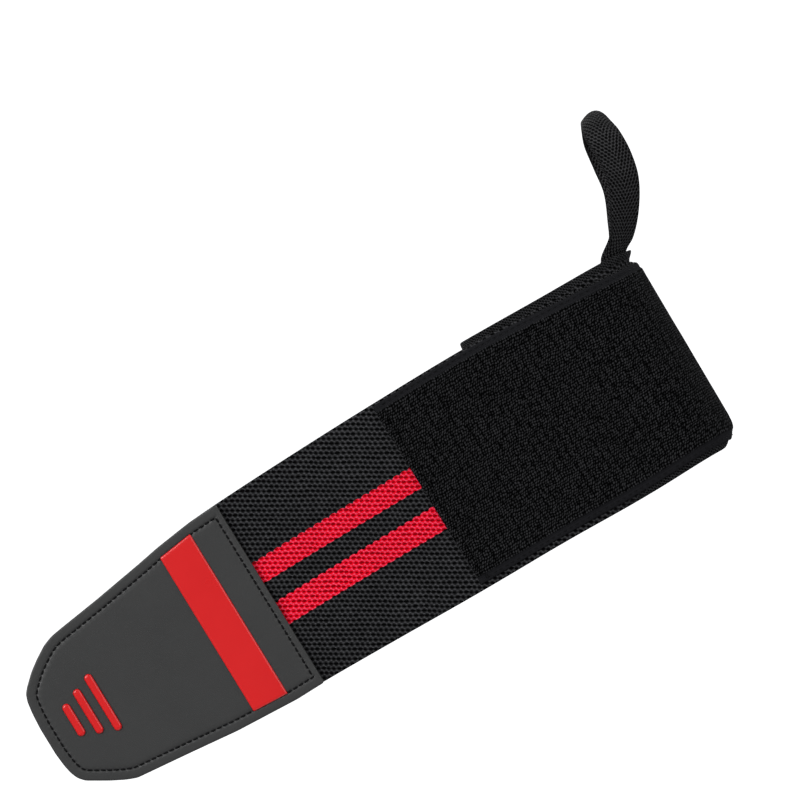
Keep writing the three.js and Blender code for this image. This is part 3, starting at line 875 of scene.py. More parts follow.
@dataclass(frozen=True)
class BandForm:
    """Where the elastic band runs. The sizes are the frame's own.

    Places up to 1.25 are turns from the thumb side by way of the front, and past it they are
    shares of the tail. A height is measured off a layer's skin side.

    Args:
        width: The elastic's width.
        thickness: Its thickness.
        layer_gap: The frame's gap between two layers.
        start_turn: Where the band starts.
        tail_length: Length of the tail up to the tab.
        end_under_tab: How far the band's end reaches in behind the tab.
        half_span: Half the hollow's size along X.
        half_depth: The same along Y.
        squareness: The power of its oval.
        taper: How far the wound band's upper edge stands out, and its lower one in.
        wind_rise: Rise of the centre line for a row's rise of one.
        tail_set: How far the tail moves back on its way to the tab.
        roll_radius: Radius of the arc on which the edges roll in.
        roll_start: Distance from the centre line where the arc starts.
        roll_least: The roll's share, but for the lower edge at the sides, where it nears one.
        lip_flare: How far the upper rim flares at the thumb side.
        lip_start: Distance above the centre line where the flare starts.
        lip_run: How far from there it grows.
        ramp: Turns before the start's place between which the second turn rises over it.
        ease: Shares of the tail between which taper and roll fade out.
        set_back: Shares of the tail between which it moves back.
        leave_turn: Where the tail leaves.
        rows: Place, rise and share of the width.
    """

    width: float = 77.0
    thickness: float = 1.8
    layer_gap: float = 0.3
    start_turn: float = -7 / 48
    tail_length: float = 143.3
    end_under_tab: float = 14.0
    half_span: float = 33.0
    half_depth: float = 22.7
    squareness: float = 2.5
    taper: float = 0.6
    wind_rise: float = 4.0
    tail_set: float = 4.0
    roll_radius: float = 7.0
    roll_start: float = 33.0
    roll_least: float = 0.12
    lip_flare: float = 4.2
    lip_start: float = 34.4
    lip_run: float = 5.4
    ramp: Pair = (0.09, 0.008)
    ease: Pair = (0.07, 0.35)
    set_back: Pair = (0.56, 0.97)
    leave_turn: float = 1.25
    rows: tuple[Triple, ...] = (
        (-0.15, 0.00, 1.000), (0.02, 0.15, 1.000), (0.10, 0.50, 1.000), (0.25, 0.70, 1.002),
        (0.46, 1.00, 1.002), (0.62, 0.85, 1.002), (0.80, 0.25, 1.002), (1.00, -0.76, 0.982),
        (1.08, -0.74, 0.985), (1.25, -0.49, 1.025), (1.50, -0.06, 1.048), (1.77, 0.05, 1.044),
        (2.02, 0.13, 1.025), (2.25, 0.12, 1.003), (2.40, 0.00, 0.985),
    )

    def outline(self) -> tuple[Array, Array, Array]:
        """One turn of the hollow: |x / half_span|^n + |y / half_depth|^n = 1, with the squareness n.

        Returns:
            X, Y and the length walked to each point.
        """
        angle = -2 * np.pi * np.arange(961) / 960
        power = 2 / self.squareness
        x = self.half_span * np.sign(np.cos(angle)) * np.abs(np.cos(angle)) ** power
        y = self.half_depth * np.sign(np.sin(angle)) * np.abs(np.sin(angle)) ** power
        return x, y, np.concatenate([[0.0], np.cumsum(np.hypot(np.diff(x), np.diff(y)))])

    @property
    def girth(self) -> float:
        """Length of one turn of the hollow."""
        return float(self.outline()[2][-1])

    def along(self, place: Array) -> Array:
        """Millimetres along the band from the thumb side to a place."""
        past = np.asarray(place, float) - self.leave_turn
        return np.where(past <= 0, place * self.girth, self.leave_turn * self.girth + past * self.tail_length)

    def place(self, along: Array) -> Array:
        """The place at a number of millimetres along the band."""
        past = np.asarray(along, float) - self.leave_turn * self.girth
        return np.where(past <= 0, along / self.girth, self.leave_turn + past / self.tail_length)

    def half_width(self, place: Array) -> Array:
        """Half the band's width at a place."""
        rows = np.array(self.rows)
        return self.width / 2 * eased_column(rows[:, 0], rows[:, 2], np.asarray(place, float))

    def point(self, place: Array, from_centre: Array, height: Array) -> Array:
        """Points on or over the band.

        Round the wrist a point stands on the outline's outward direction, and along the tail on
        -Y. Past roll_start the cloth runs on an arc, whose radius grows as its share shrinks.

        Args:
            place: Places along the band.
            from_centre: Distances above its centre line.
            height: Heights off the layer's skin side.

        Returns:
            The points in millimetres, with a last axis of three.
        """
        place, from_centre, height = np.broadcast_arrays(np.asarray(place, float), from_centre, height)
        xs, ys, walked = self.outline()
        target = (place - np.floor(place)) * walked[-1]
        x, y = np.interp(target, walked, xs), np.interp(target, walked, ys)
        power = self.squareness - 1
        gx = np.sign(x) * np.abs(x / self.half_span) ** power / self.half_span
        gy = np.sign(y) * np.abs(y / self.half_depth) ** power / self.half_depth
        size = np.hypot(gx, gy)
        out_x, out_y = gx / size, gy / size
        tail = place > self.leave_turn
        leave = self.leave_turn
        set_back = self.tail_set * smooth_step(place, leave + self.set_back[0], leave + self.set_back[1])
        x = np.where(tail, -(place - leave) * self.tail_length, x)
        y = np.where(tail, set_back - self.half_depth, y)
        out_x, out_y = np.where(tail, 0.0, out_x), np.where(tail, -1.0, out_y)

        rows = np.array(self.rows)
        hold = 1 - smooth_step(place, leave + self.ease[0], leave + self.ease[1])
        flat = self.wind_rise * eased_column(rows[:, 0], rows[:, 1], place) + from_centre
        sideways = out_x * out_x
        share = hold * np.where(flat < 0, self.roll_least + (1 - self.roll_least) * sideways, self.roll_least)
        past = np.maximum(np.abs(flat) - self.roll_start, 0.0)
        radius = self.roll_radius / np.maximum(share, 1e-9)
        tilt = past / radius
        rise = np.where(tilt > 0, np.sign(flat) * (self.roll_start + radius * np.sin(tilt)), flat)
        inward = radius * 2 * np.sin(tilt / 2) ** 2
        tilt = tilt * np.sign(flat)
        over = 1 + self.start_turn
        under = smooth_step(place, over - self.ramp[0], over - self.ramp[1]) * (self.thickness + self.layer_gap)
        off = under + height
        taper = hold * self.taper * rise / (self.width / 2)
        lip = self.lip_flare * np.where(out_x > 0, sideways**2, 0.0)
        lip = lip * smooth_step(flat, self.lip_start, self.lip_start + self.lip_run)
        reach = taper + lip - inward + off * np.cos(tilt)
        return np.stack([x + out_x * reach, y + out_y * reach, rise + off * np.sin(tilt)], -1)


def close_at_ends(first: float, last: float, close: Sequence[float], middle: Array) -> Array:
    """Rows along a strip: close ones at both ends with the middle ones between them.

    Args:
        first: Where the strip starts.
        last: Where it ends.
        close: Distances of the close rows from an end.
        middle: The rows between them.

    Returns:
        Where each row stands.
    """
    insets = np.array(close)
    return np.concatenate([first + insets, middle, (last - insets)[::-1]])


def edge_columns(half: float, insets: Sequence[float], inner: int) -> tuple[Array, Array]:
    """Columns across a strip, close at both edges.

    Args:
        half: Half the strip's width.
        insets: Distances from an edge for the close columns.
        inner: How many columns stand between the close ones.

    Returns:
        Where each column stands from the centre line, and its distance from its edge.
    """
    insets = np.array(insets)
    middle = np.linspace(-(half - insets[-1]), half - insets[-1], inner + 2)[1:-1]
    across = np.concatenate([-(half - insets), middle, (half - insets)[::-1]])
    return across, half - np.abs(across)


@dataclass
class WovenBand:
    """The elastic band itself, from its start behind the thumb to its end under the tab.

    Args:
        form: The band's form.
        step: Distance between rows along the band.
        end_rows: Distances of the close rows from an end.
        end_space: Length at each end that the even rows leave free.
        edge_columns: Distances of the close columns from a long edge.
        inner_columns: How many columns stand between them.
        edge: How far in from a long edge the rounding reaches, and its least share of thickness.
        end: The same for an end.
        corner: Radius of the corners at both ends.
        unevenness: How far the faces swell.
    """

    form: BandForm
    step: float = 1.3
    end_rows: tuple[float, ...] = (0.05, 0.2, 0.45, 0.8, 1.3)
    end_space: float = 2.2
    edge_columns: tuple[float, ...] = (0.0, 0.12, 0.35, 0.75, 1.3, 2.6)
    inner_columns: int = 34
    edge: Pair = (1.3, 0.22)
    end: Pair = (1.5, 0.45)
    corner: float = 1.8
    unevenness: float = 0.10

    def build(self, finish: Material) -> Piece:
        """Makes the band: two faces with elliptic edges, from one end to the other.

        Args:
            finish: The woven elastic.

        Returns:
            The piece.
        """
        form = self.form
        first = form.along(form.start_turn)
        last = form.along(form.leave_turn + 1 + form.end_under_tab / form.tail_length)
        count = int((last - first) / self.step)
        middle = np.linspace(first + self.end_space, last - self.end_space, count)
        along = close_at_ends(first, last, self.end_rows, middle)
        place = form.place(along)[:, None]
        across, inset = edge_columns(form.width / 2, self.edge_columns, self.inner_columns)
        short = np.clip(self.corner - np.minimum(along - first, last - along), 0, self.corner)[:, None]
        cut = self.corner - np.sqrt(self.corner**2 - short**2)
        wide = (form.half_width(place) - cut) / (form.width / 2) * across
        ends = np.minimum(along - along[0], along[-1] - along)[:, None]
        reach, least = self.end
        half = form.thickness / 2 * rounded_rim(inset, *self.edge)
        half = half * (least + (1 - least) * smooth_step(ends, 0.0, reach))
        swell = self.unevenness * smooth_step(inset, 0, 4) * (ripple(along[:, None], across, 4) - 1.0) * 0.5
        middle = form.thickness / 2
        outer = form.point(place, wide, middle + half + swell)
        inner = form.point(place, wide, middle - half - swell)
        cloth = np.stack(np.broadcast_arrays(along[:, None], wide), -1)
        piece = make_piece("woven_band", slab(outer, inner, cloth), finish)
        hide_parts("elastic_band")
        return piece


@dataclass
class PileField:
    """The pile patch on the band's outer face.

    Args:
        form: The band's form.
        thickness: The pile's thickness.
        start_turn: Where it starts behind the thumb.
        reach: How far it reaches along the tail.
        top_margin: Elastic that shows above it.
        bottom_margin: Elastic that shows below it.
        selvedge: The selvedge's width.
        selvedge_thickness: The selvedge's thickness.
        selvedge_rise: From where to where it rises to the pile, off its inner side.
        rim: How far in the rounding reaches at every edge, and its least share of thickness.
        fold: Distance from a short end to the bottom of its sewn valley.
        valley: The valley's depth and half width.
        unevenness: How far the face swells.
        step: Distance between rows along the patch.
        end_rows: Distances of the close rows from a short end.
        end_space: Length at each end that the even rows leave free.
        edge_columns: Distances of the close columns from a long edge.
        inner_columns: How many columns stand between them.
    """

    form: BandForm
    thickness: float = 1.1
    start_turn: float = 40 / 48
    reach: float = 74.8
    top_margin: float = 0.8
    bottom_margin: float = 2.4
    selvedge: float = 2.1
    selvedge_thickness: float = 0.6
    selvedge_rise: Pair = (-0.2, 0.9)
    rim: Pair = (0.6, 0.35)
    fold: float = 3.4
    valley: Pair = (0.45, 0.75)
    unevenness: float = 0.10
    step: float = 1.1
    end_rows: tuple[float, ...] = (0.0, 0.12, 0.35, 0.8, 1.5, 2.3, 2.8, 3.1, 3.4, 3.7, 4.0, 4.5, 5.2)
    end_space: float = 6.2
    edge_columns: tuple[float, ...] = (0.0, 0.12, 0.35, 0.7, 1.4, 1.9, 2.3, 2.7, 3.1, 4.0)
    inner_columns: int = 30

    @property
    def seat(self) -> float:
        """Height of the patch's back over the layer's skin side."""
        return self.form.thickness + self.form.layer_gap

    @property
    def half_width(self) -> float:
        """Half the width that the patch is cut to."""
        return (self.form.width - self.top_margin - self.bottom_margin) / 2

    @property
    def ends(self) -> Pair:
        """Millimetres along the band to both short ends."""
        form, share = self.form, self.reach / self.form.tail_length
        return float(form.along(self.start_turn)), float(form.along(form.leave_turn + share))

    def from_centre(self, place: Array, share: Array) -> Array:
        """Distance above the band's centre line, at a share from the lower to the upper edge.

        Args:
            place: Places along the band.
            share: -1 at the patch's lower edge to 1 at its upper one.

        Returns:
            The distances.
        """
        half = self.form.half_width(place)
        low, high = -(half - self.bottom_margin), half - self.top_margin
        return low + (high - low) * (share + 1) / 2

    def relief(self, inset: Array, ends: Array) -> Array:
        """Thickness from the distance to the long edges and to the short ones.

        The selvedge is thin and eases up to the pile, the rim rounds down at every edge, and a
        sewn valley runs across near each short end.

        Args:
            inset: Distances to the nearer long edge.
            ends: Distances to the nearer short end.

        Returns:
            The thickness at each place.
        """
        rise = smooth_step(inset, *(self.selvedge + off for off in self.selvedge_rise))
        top = self.selvedge_thickness + (self.thickness - self.selvedge_thickness) * rise
        depth, half = self.valley
        valley = depth * np.exp(-(((ends - self.fold) / half) ** 2))
        return top * rounded_rim(np.minimum(inset, ends), *self.rim) - valley

    def build(self, finish: Material) -> Piece:
        """Makes the patch over the band's outer face.

        Args:
            finish: The knitted pile.

        Returns:
            The piece.
        """
        form, half = self.form, self.half_width
        first, last = self.ends
        middle = np.arange(first + self.end_space, last - self.end_space + 0.1, self.step)
        along = close_at_ends(first, last, self.end_rows, middle)
        ends = np.minimum(along - first, last - along)[:, None]
        across, inset = edge_columns(half, self.edge_columns, self.inner_columns)
        place = form.place(along)[:, None]
        from_centre = self.from_centre(place, across / half)
        swell = self.unevenness * smooth_step(inset, 3, 7) * (ripple(along[:, None], across, 9) - 1.0) * 0.5
        top = self.relief(inset, ends) + swell
        outer = form.point(place, from_centre, self.seat + top)
        inner = form.point(place, from_centre, self.seat + 0.0 * top)
        cloth = np.stack(np.broadcast_arrays(along[:, None], across), -1)
        piece = make_piece("pile_field", slab(outer, inner, cloth), finish)
        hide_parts("pile_patch")
        return piece


@dataclass
class ThumbStrap:
    """The narrow strap that makes the thumb loop.

    Args:
        form: The band's form.
        width: The strap's width.
        thickness: Its thickness.
        foot_turn: How far its feet stand from the thumb side, in turns.
        foot_depth: How far they reach down inside the band.
        foot_rise: How far above the band's edge they leave it.
        height: The loop's height.
        reach: How far it stands out.
        edge: How far in from an edge the rounding reaches, and its least share of thickness.
        edge_columns: Distances of the close columns from an edge.
        inner_columns: How many columns stand between them.
        row_steps: Rows between two control rows.
        foot_rows: How deep a foot's control rows are, as shares of its depth.
        rows: Between, out, up, twist, cup and lean of the free part.
    """

    form: BandForm
    width: float = 14.0
    thickness: float = 1.2
    foot_turn: float = 0.063
    foot_depth: float = 20.0
    foot_rise: float = 0.6
    height: float = 48.8
    reach: float = 22.0
    edge: Pair = (0.9, 0.25)
    edge_columns: tuple[float, ...] = (0.0, 0.08, 0.25, 0.6, 1.1)
    inner_columns: int = 12
    row_steps: int = 14
    foot_rows: tuple[float, ...] = (1.0, 0.66, 0.33, 0.0)
    rows: tuple[tuple[float, float, float, float, float, float], ...] = (
        (-1.10, 0.25, 0.10, 38, 0.00, 0), (-1.34, 0.52, 0.26, 27, 0.01, 0), (-1.52, 0.765, 0.46, 25, 0.03, 0),
        (-1.54, 0.86, 0.66, 22, 0.06, 2), (-1.30, 0.89, 0.85, 10, 0.14, 12), (-0.76, 0.96, 0.975, 2, 0.26, 24),
        (0.00, 1.02, 1.035, 0, 0.32, 30), (0.76, 0.97, 0.975, 2, 0.26, 24), (1.30, 0.90, 0.85, 10, 0.14, 12),
        (1.54, 0.84, 0.66, 22, 0.06, 2), (1.52, 0.75, 0.46, 28, 0.03, 0), (1.34, 0.505, 0.26, 38, 0.01, 0),
        (1.10, 0.24, 0.10, 50, 0.00, 0),
    )

    def control(self) -> Array:
        """Control rows from the front foot over the thumb to the foot behind it.

        Feet lie on the band's own form, and free rows stand on the line between the feet, moved
        out and up. A free row's width starts as X, tipped by the lean and made square to the run.
        It is turned about the run by the twist, and its edges are bent in by the cup, which
        narrows it so that its length across stays the strap's width.

        Returns:
            Rows by five by three.
        """
        form, shares = self.form, np.linspace(-0.5, 0.5, 5)
        inside = -(form.layer_gap + self.thickness / 2)

        def foot(side: int) -> Array:
            """The rows of one foot, from its end up to the band's edge.

            Args:
                side: 1 in front of the thumb side and -1 behind it.

            Returns:
                Rows by five by three.
            """
            place = side * self.foot_turn
            edge = float(form.half_width(place)) + self.foot_rise
            shift = -side * shares * self.width / form.girth
            drops = np.array(self.foot_rows)[:, None] * self.foot_depth
            return form.point(place + shift + 0 * drops, edge - drops, inside)

        front, back = foot(1), foot(-1)[::-1]
        front_foot, back_foot = front[-1, 2], back[0, 2]
        between, out, up, twist, cup, lean = np.array(self.rows, float).T
        centres = (front_foot + back_foot) / 2 + between[:, None] * (back_foot - front_foot) / 2
        centres = centres + np.stack([out * self.reach, 0 * out, up * self.height], -1)
        around = np.concatenate([front_foot[None], centres, back_foot[None]])
        run = unit(around[2:] - around[:-2])
        turn, tip = np.radians(twist)[:, None], np.radians(lean)
        level = np.stack([np.cos(tip), 0 * tip, -np.sin(tip)], -1)
        level = unit(level - (level * run).sum(-1, keepdims=True) * run)
        across = np.cos(turn) * level + np.sin(turn) * np.cross(run, level)
        outward = np.cross(across, run)
        bend = -cup[:, None, None] * self.width * 4 * shares[None, :, None] ** 2
        chord = self.width / (1 + 8 / 3 * cup**2)
        spread = across[:, None] * (shares * chord[:, None])[:, :, None]
        free = centres[:, None] + spread + outward[:, None] * bend
        return np.concatenate([front, free, back])

    def build(self, finish: Material) -> Piece:
        """Makes the strap: a smooth sheet through the control rows, thickened to both sides.

        Across, the sheet is the power curve of degree four through a row's five control points.

        Args:
            finish: The strap's weave.

        Returns:
            The piece.
        """
        sheet = centripetal(self.control(), self.row_steps)
        across, inset = edge_columns(self.width / 2, self.edge_columns, self.inner_columns)
        powers = np.arange(5)
        through = np.linalg.inv(np.linspace(-0.5, 0.5, 5)[:, None] ** powers)
        sheet = np.einsum("ck,rkd->rcd", (across[:, None] / self.width) ** powers @ through, sheet)
        outward = unit(np.cross(np.gradient(sheet, axis=1), np.gradient(sheet, axis=0)))
        half = self.thickness / 2 * rounded_rim(inset, *self.edge)[None, :, None]
        walked = walked_along(sheet[:, sheet.shape[1] // 2])
        cloth = np.stack(np.broadcast_arrays(walked[:, None], across), -1)
        body = slab(sheet + outward * half, sheet - outward * half, cloth)
        piece = make_piece("thumb_strap", body, finish)
        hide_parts("thumb_loop")
        return piece


# Plates with a rim: the tab, the hook pad, the red band and the bars


def closed_outline(corners: Array, spacing: float, soften: float) -> Array:
    """A closed outline resampled evenly and smoothed by a running mean.

    Args:
        corners: The outline's corners in plan, running anticlockwise seen from the front.
        spacing: Distance between the new points.
        soften: Length of the running mean, which rounds the corners.

    Returns:
        The points, without a repeat of the first one.
    """
    ring = np.concatenate([corners, corners[:1]])
    walked = walked_along(ring)
    count = int(round(walked[-1] / spacing))
    at = np.arange(count) / count * walked[-1]
    points = np.stack([np.interp(at, walked, ring[:, k]) for k in (0, 1)], -1)
    reach = max(1, int(round(soften / spacing / 2)))
    weights = np.hanning(2 * reach + 3)[1:-1]
    mean = sum(wt * np.roll(points, shift, axis=0) for wt, shift in zip(weights, range(-reach, reach + 1)))
    return mean / weights.sum()


def spine_of(outline: Array) -> Array:
    """For each point of an outline, the nearest point of its spine.

    The spine is the middle line of the outline's longer side, short of both ends by half of its
    shorter side, so lines from the outline to it never cross.

    Args:
        outline: The closed outline, X and Z.

    Returns:
        A point of the spine for each of the outline's.
    """
    low, high = outline.min(0), outline.max(0)
    middle, half = (low + high) / 2, (high - low) / 2
    axis = int(np.argmax(half))
    reach = half[axis] - half[1 - axis]
    spine = np.broadcast_to(middle, outline.shape).copy()
    spine[:, axis] = np.clip(outline[:, axis], middle[axis] - reach, middle[axis] + reach)
    return spine


def inset_rings(outline: Array, insets: Sequence[float]) -> Array:
    """An outline moved inward by each inset, on lines that run from it to its spine.

    Along each line the distance to the nearest edge is measured at a few dozen places, and the
    ring stands where that distance, read between them, is the inset.

    Args:
        outline: The closed outline, X and Z.
        insets: Rising distances.

    Returns:
        Insets by points by two.
    """
    spine = spine_of(outline)
    reach = np.linalg.norm(spine - outline, axis=-1)
    ahead = (spine - outline) / reach[:, None]
    walk = np.minimum(reach * 0.98, 3.2 * max(insets) + 0.5) * np.linspace(0, 1, 64)[:, None] ** 1.3
    edge = np.roll(outline, -1, axis=0) - outline
    length = (edge * edge).sum(-1)
    depth = []
    for out in walk:
        at = outline + ahead * out[:, None]
        off = at[:, None] - outline[None]
        share = np.clip((off * edge).sum(-1) / length, 0, 1)
        depth.append(np.linalg.norm(off - share[..., None] * edge, axis=-1).min(1))
    depth = np.maximum.accumulate(np.array(depth), axis=0)
    column = np.arange(len(outline))
    made = []
    for inset in insets:
        upper = np.clip((depth < inset).sum(0), 1, len(walk) - 1)
        below, above = depth[upper - 1, column], depth[upper, column]
        share = np.clip((inset - below) / np.maximum(above - below, 1e-9), 0, 1)
        out = walk[upper - 1, column] * (1 - share) + walk[upper, column] * share
        made.append(outline + ahead * out[:, None])
    return np.array(made)


def inset_outline(outline: Array, inset: float) -> Array:
    """An outline moved inward."""
    return inset_rings(outline, [inset])[0]


def inside_outline(outline: Array, x: Array, z: Array) -> Array:
    """Which points lie inside an outline: a line to one side crosses it an odd number of times.

    Args:
        outline: The closed outline, X and Z.
        x: The points' X.
        z: The points' Z.

    Returns:
        True for each point inside.
    """
    x0, z0 = outline.T
    x1, z1 = np.roll(outline, -1, axis=0).T
    level = np.where(z1 == z0, 1e-9, z1 - z0)
    at_point = (x1 - x0) * (z[:, None] - z0) / level + x0
    crossing = ((z0 > z[:, None]) != (z1 > z[:, None])) & (x[:, None] < at_point)
    return crossing.sum(1) % 2 == 1


def flat_face(level: float) -> Callable[[Array], Array]:
    """A face or a line that stands at one level wherever it is asked for."""
    return lambda where: np.full(where.shape, level)


def rimmed_plate(
    outline: Array,
    rings: Sequence[Pair],
    front: Callable[[Array], Array],
    back: Callable[[Array], Array],
    inner_rings: int = 10,
    dents: Callable[[Array], Array] | None = None,
    shift: Callable[[Array, Array], Array] | None = None,
) -> Surface:
    """A closed plate whose rim follows rings laid inside its outline.

    Each ring is the outline moved inward by its inset, and inner rings close in on the spine.
    The faces stand at given depths along Y, and each ring draws in from them by its depth.

    Args:
        outline: The closed outline, X and Z.
        rings: Inset and draw-in of each ring, from the rim inward.
        front: The front face's Y at each X.
        back: The back face's Y at each X.
        inner_rings: How many rings close in on the spine.
        dents: Depth of dents on the front, from the insets in a column.
        shift: Moves the points in plan, from the points and the insets in a column.

    Returns:
        The closed surface.
    """
    insets = np.array([r[0] for r in rings])
    draw = np.array([r[1] for r in rings])
    near = inset_rings(outline, insets)
    spine = spine_of(outline)
    centre = spine.mean(0)
    shares = (np.arange(1, inner_rings + 1) / (inner_rings + 1))[:, None, None]
    far = near[-1] + (spine - near[-1]) * shares
    plan = np.concatenate([near, far])
    draw = np.concatenate([draw, np.full(inner_rings, draw[-1])])[:, None]
    insets = np.concatenate([insets, np.full(inner_rings, FAR_INSIDE)])[:, None]
    dent = dents(insets) if dents else 0.0
    plan = shift(plan, insets) if shift else plan
    x, z = plan[..., 0], plan[..., 1]
    front_y = front(x) + draw + dent
    back_y = back(x) - draw
    rings_count, around = x.shape
    points = [np.stack([x, front_y, z], -1).reshape(-1, 3), np.stack([x, back_y, z], -1).reshape(-1, 3)]
    tip_y = (front(centre[:1])[0] + draw[-1, 0], back(centre[:1])[0] - draw[-1, 0])
    tips = np.array([[centre[0], y, centre[1]] for y in tip_y])
    number = ring_numbers(rings_count, around)
    behind = number + rings_count * around
    tip = np.full(around + 1, 2 * rings_count * around)
    faces = [
        quads_between(number[:-1], number[1:]),
        quads_between(behind[:-1], behind[1:], flipped=True),
        quads_between(number[0], behind[0], flipped=True),
        quads_between(number[-1], tip),
        np.stack([behind[-1, 1:], behind[-1, :-1], tip[1:] + 1, tip[1:] + 1], -1),
    ]
    points = np.concatenate(points + [tips])
    return Surface(points, np.concatenate(faces), points[:, [0, 2]])


def quads_and_fans(surface: Surface) -> list[list[int]]:
    """Faces as lists, where a repeated last corner means a triangle."""
    return [face[:3] if face[2] == face[3] else face for face in surface.faces.tolist()]


@dataclass(frozen=True)
class TabForm:
    """The tab's outline and where its faces stand. The sizes are the frame's own.

    Args:
        start_x: X of the inner end.
        length: Length from there to the tip.
        half_band: Half the band's width, which the outline's rows are shares of.
        rubber_front: Y of the rubber's front.
        rubber_back: Y of its back.
        end_under_tab: How far the band's end reaches in behind the rubber.
        hook_on_band: Y of the hook tape's front on the band's end.
        hook_on_rubber: The same on the rubber.
        hook_jog: Length of the step between them.
        seam: Distance of the sewing line from the outline.
        end_shift: How much nearer it runs to the inner end.
        end_reach: From where to where, off the inner end, that shift eases in.
        rows: Share of the length, and the upper and lower edge there.
    """

    start_x: float = -143.3
    length: float = 99.0
    half_band: float = 38.5
    rubber_front: float = -24.7
    rubber_back: float = -22.9
    end_under_tab: float = 14.0
    hook_on_band: float = -20.5
    hook_on_rubber: float = -22.6
    hook_jog: float = 7.0
    seam: float = 3.9
    end_shift: float = 1.3
    end_reach: Pair = (15.0, 3.0)
    rows: tuple[Triple, ...] = (
        (0.000, 1.012, -0.995), (0.120, 1.000, -0.998), (0.270, 0.953, -0.974), (0.370, 0.909, -0.958),
        (0.570, 0.831, -0.899), (0.750, 0.771, -0.849), (0.785, 0.756, -0.839), (0.825, 0.719, -0.797),
        (0.876, 0.639, -0.727), (0.916, 0.566, -0.665), (0.957, 0.470, -0.600), (0.977, 0.413, -0.540),
        (0.988, 0.338, -0.468), (0.995, 0.220, -0.377), (1.000, 0.050, -0.234),
    )

    def outline(self, spacing: float, soften: float = 2.2) -> Array:
        """The tab's outline in plan, from its lower inner corner round by its tip.

        Args:
            spacing: Distance between its points.
            soften: How far its corners are rounded.

        Returns:
            The points, X and Z.
        """
        share, upper, lower = np.array(self.rows).T
        x = self.start_x - share * self.length
        top = np.stack([x, upper * self.half_band], -1)
        bottom = np.stack([x, lower * self.half_band], -1)[::-1]
        return closed_outline(np.concatenate([top, bottom]), spacing, soften)

    def nearer_end(self, points: Array, inset: Array) -> Array:
        """Moves what lies inside the rim towards the inner end, where the rim is narrower.

        The move eases in over the last 12 mm before the end and over the rim's width.

        Args:
            points: Points in plan, with a last axis of two.
            inset: Their distances from the outline.

        Returns:
            The moved points.
        """
        share = smooth_step(points[..., 0], *(self.start_x - reach for reach in self.end_reach))
        share = share * smooth_step(inset, 0.6, self.seam - 0.9)
        return points + np.stack([self.end_shift * share, 0.0 * share], -1)

    def edges_at(self, x: float) -> Pair:
        """The lower and the upper edge's Z at an X.

        Args:
            x: The X.

        Returns:
            Both Z.
        """
        share, upper, lower = np.array(self.rows).T
        at = (self.start_x - x) / self.length
        return tuple(float(np.interp(at, share, edge)) * self.half_band for edge in (lower, upper))


@dataclass
class RubberTab:
    """The moulded rubber face of the tab, with the sewing line pressed into it.

    Args:
        tab: The tab's form.
        spacing: Distance between vertices round the outline.
        pitch: Distance between stitches.
        groove: Depth that the thread presses into the rubber.
        groove_half: Half the width of that groove.
        pit: How much deeper the needle's pits are.
        rim: Inset and draw-in of each ring from the rim to the sewing line.
        seam_rings: Distances of the rings round the sewing line from it.
        inner_ring: Inset of the last ring.
    """

    tab: TabForm
    spacing: float = 0.6
    pitch: float = 2.45
    groove: float = 0.16
    groove_half: float = 0.55
    pit: float = 0.34
    rim: tuple[Pair, ...] = (
        (0.0, 0.55), (0.06, 0.30), (0.20, 0.12), (0.42, 0.03), (0.75, 0.0), (1.6, 0.0), (2.6, 0.0),
    )
    seam_rings: tuple[float, ...] = (-0.9, -0.55, -0.25, 0.0, 0.25, 0.55, 0.9)
    inner_ring: float = 6.0

    def seam_line(self) -> tuple[Array, Array, float]:
        """The closed sewing line, and the pitch that closes it with whole stitches.

        Returns:
            The line's points, the length walked to each, and the pitch.
        """
        seam = self.tab.seam
        line = self.tab.nearer_end(inset_outline(self.tab.outline(self.spacing), seam), np.array(seam))
        walked = walked_along(line)
        total = walked[-1] + np.linalg.norm(line[0] - line[-1])
        return line, walked, total / round(total / self.pitch)

    def dents(self, inset: Array) -> Array:
        """A shallow groove along the seam with deeper pits where the needle went in.

        Args:
            inset: Distances from the outline, in a column.

        Returns:
            Depths for each inset and each point round the outline.
        """
        walked, pitch = self.seam_line()[1:]
        line = np.exp(-(((inset - self.tab.seam) / self.groove_half) ** 2))
        pits = 0.5 + 0.5 * np.cos(TURN * walked / pitch)
        return line * (self.groove + self.pit * pits**3)

    def build(self, finish: Material) -> Piece:
        """Makes the plate with a rounded rim.

        Args:
            finish: The moulded rubber.

        Returns:
            The piece.
        """
        flat = [self.tab.seam + off for off in self.seam_rings] + [self.inner_ring]
        surface = rimmed_plate(
            self.tab.outline(self.spacing),
            [*self.rim, *((inset, 0.0) for inset in flat)],
            flat_face(self.tab.rubber_front),
            flat_face(self.tab.rubber_back),
            inner_rings=9,
            dents=self.dents,
            shift=self.tab.nearer_end,
        )
        piece = make_piece("rubber_tab", surface, finish, 60.0)
        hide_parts("tab_patch")
        return piece


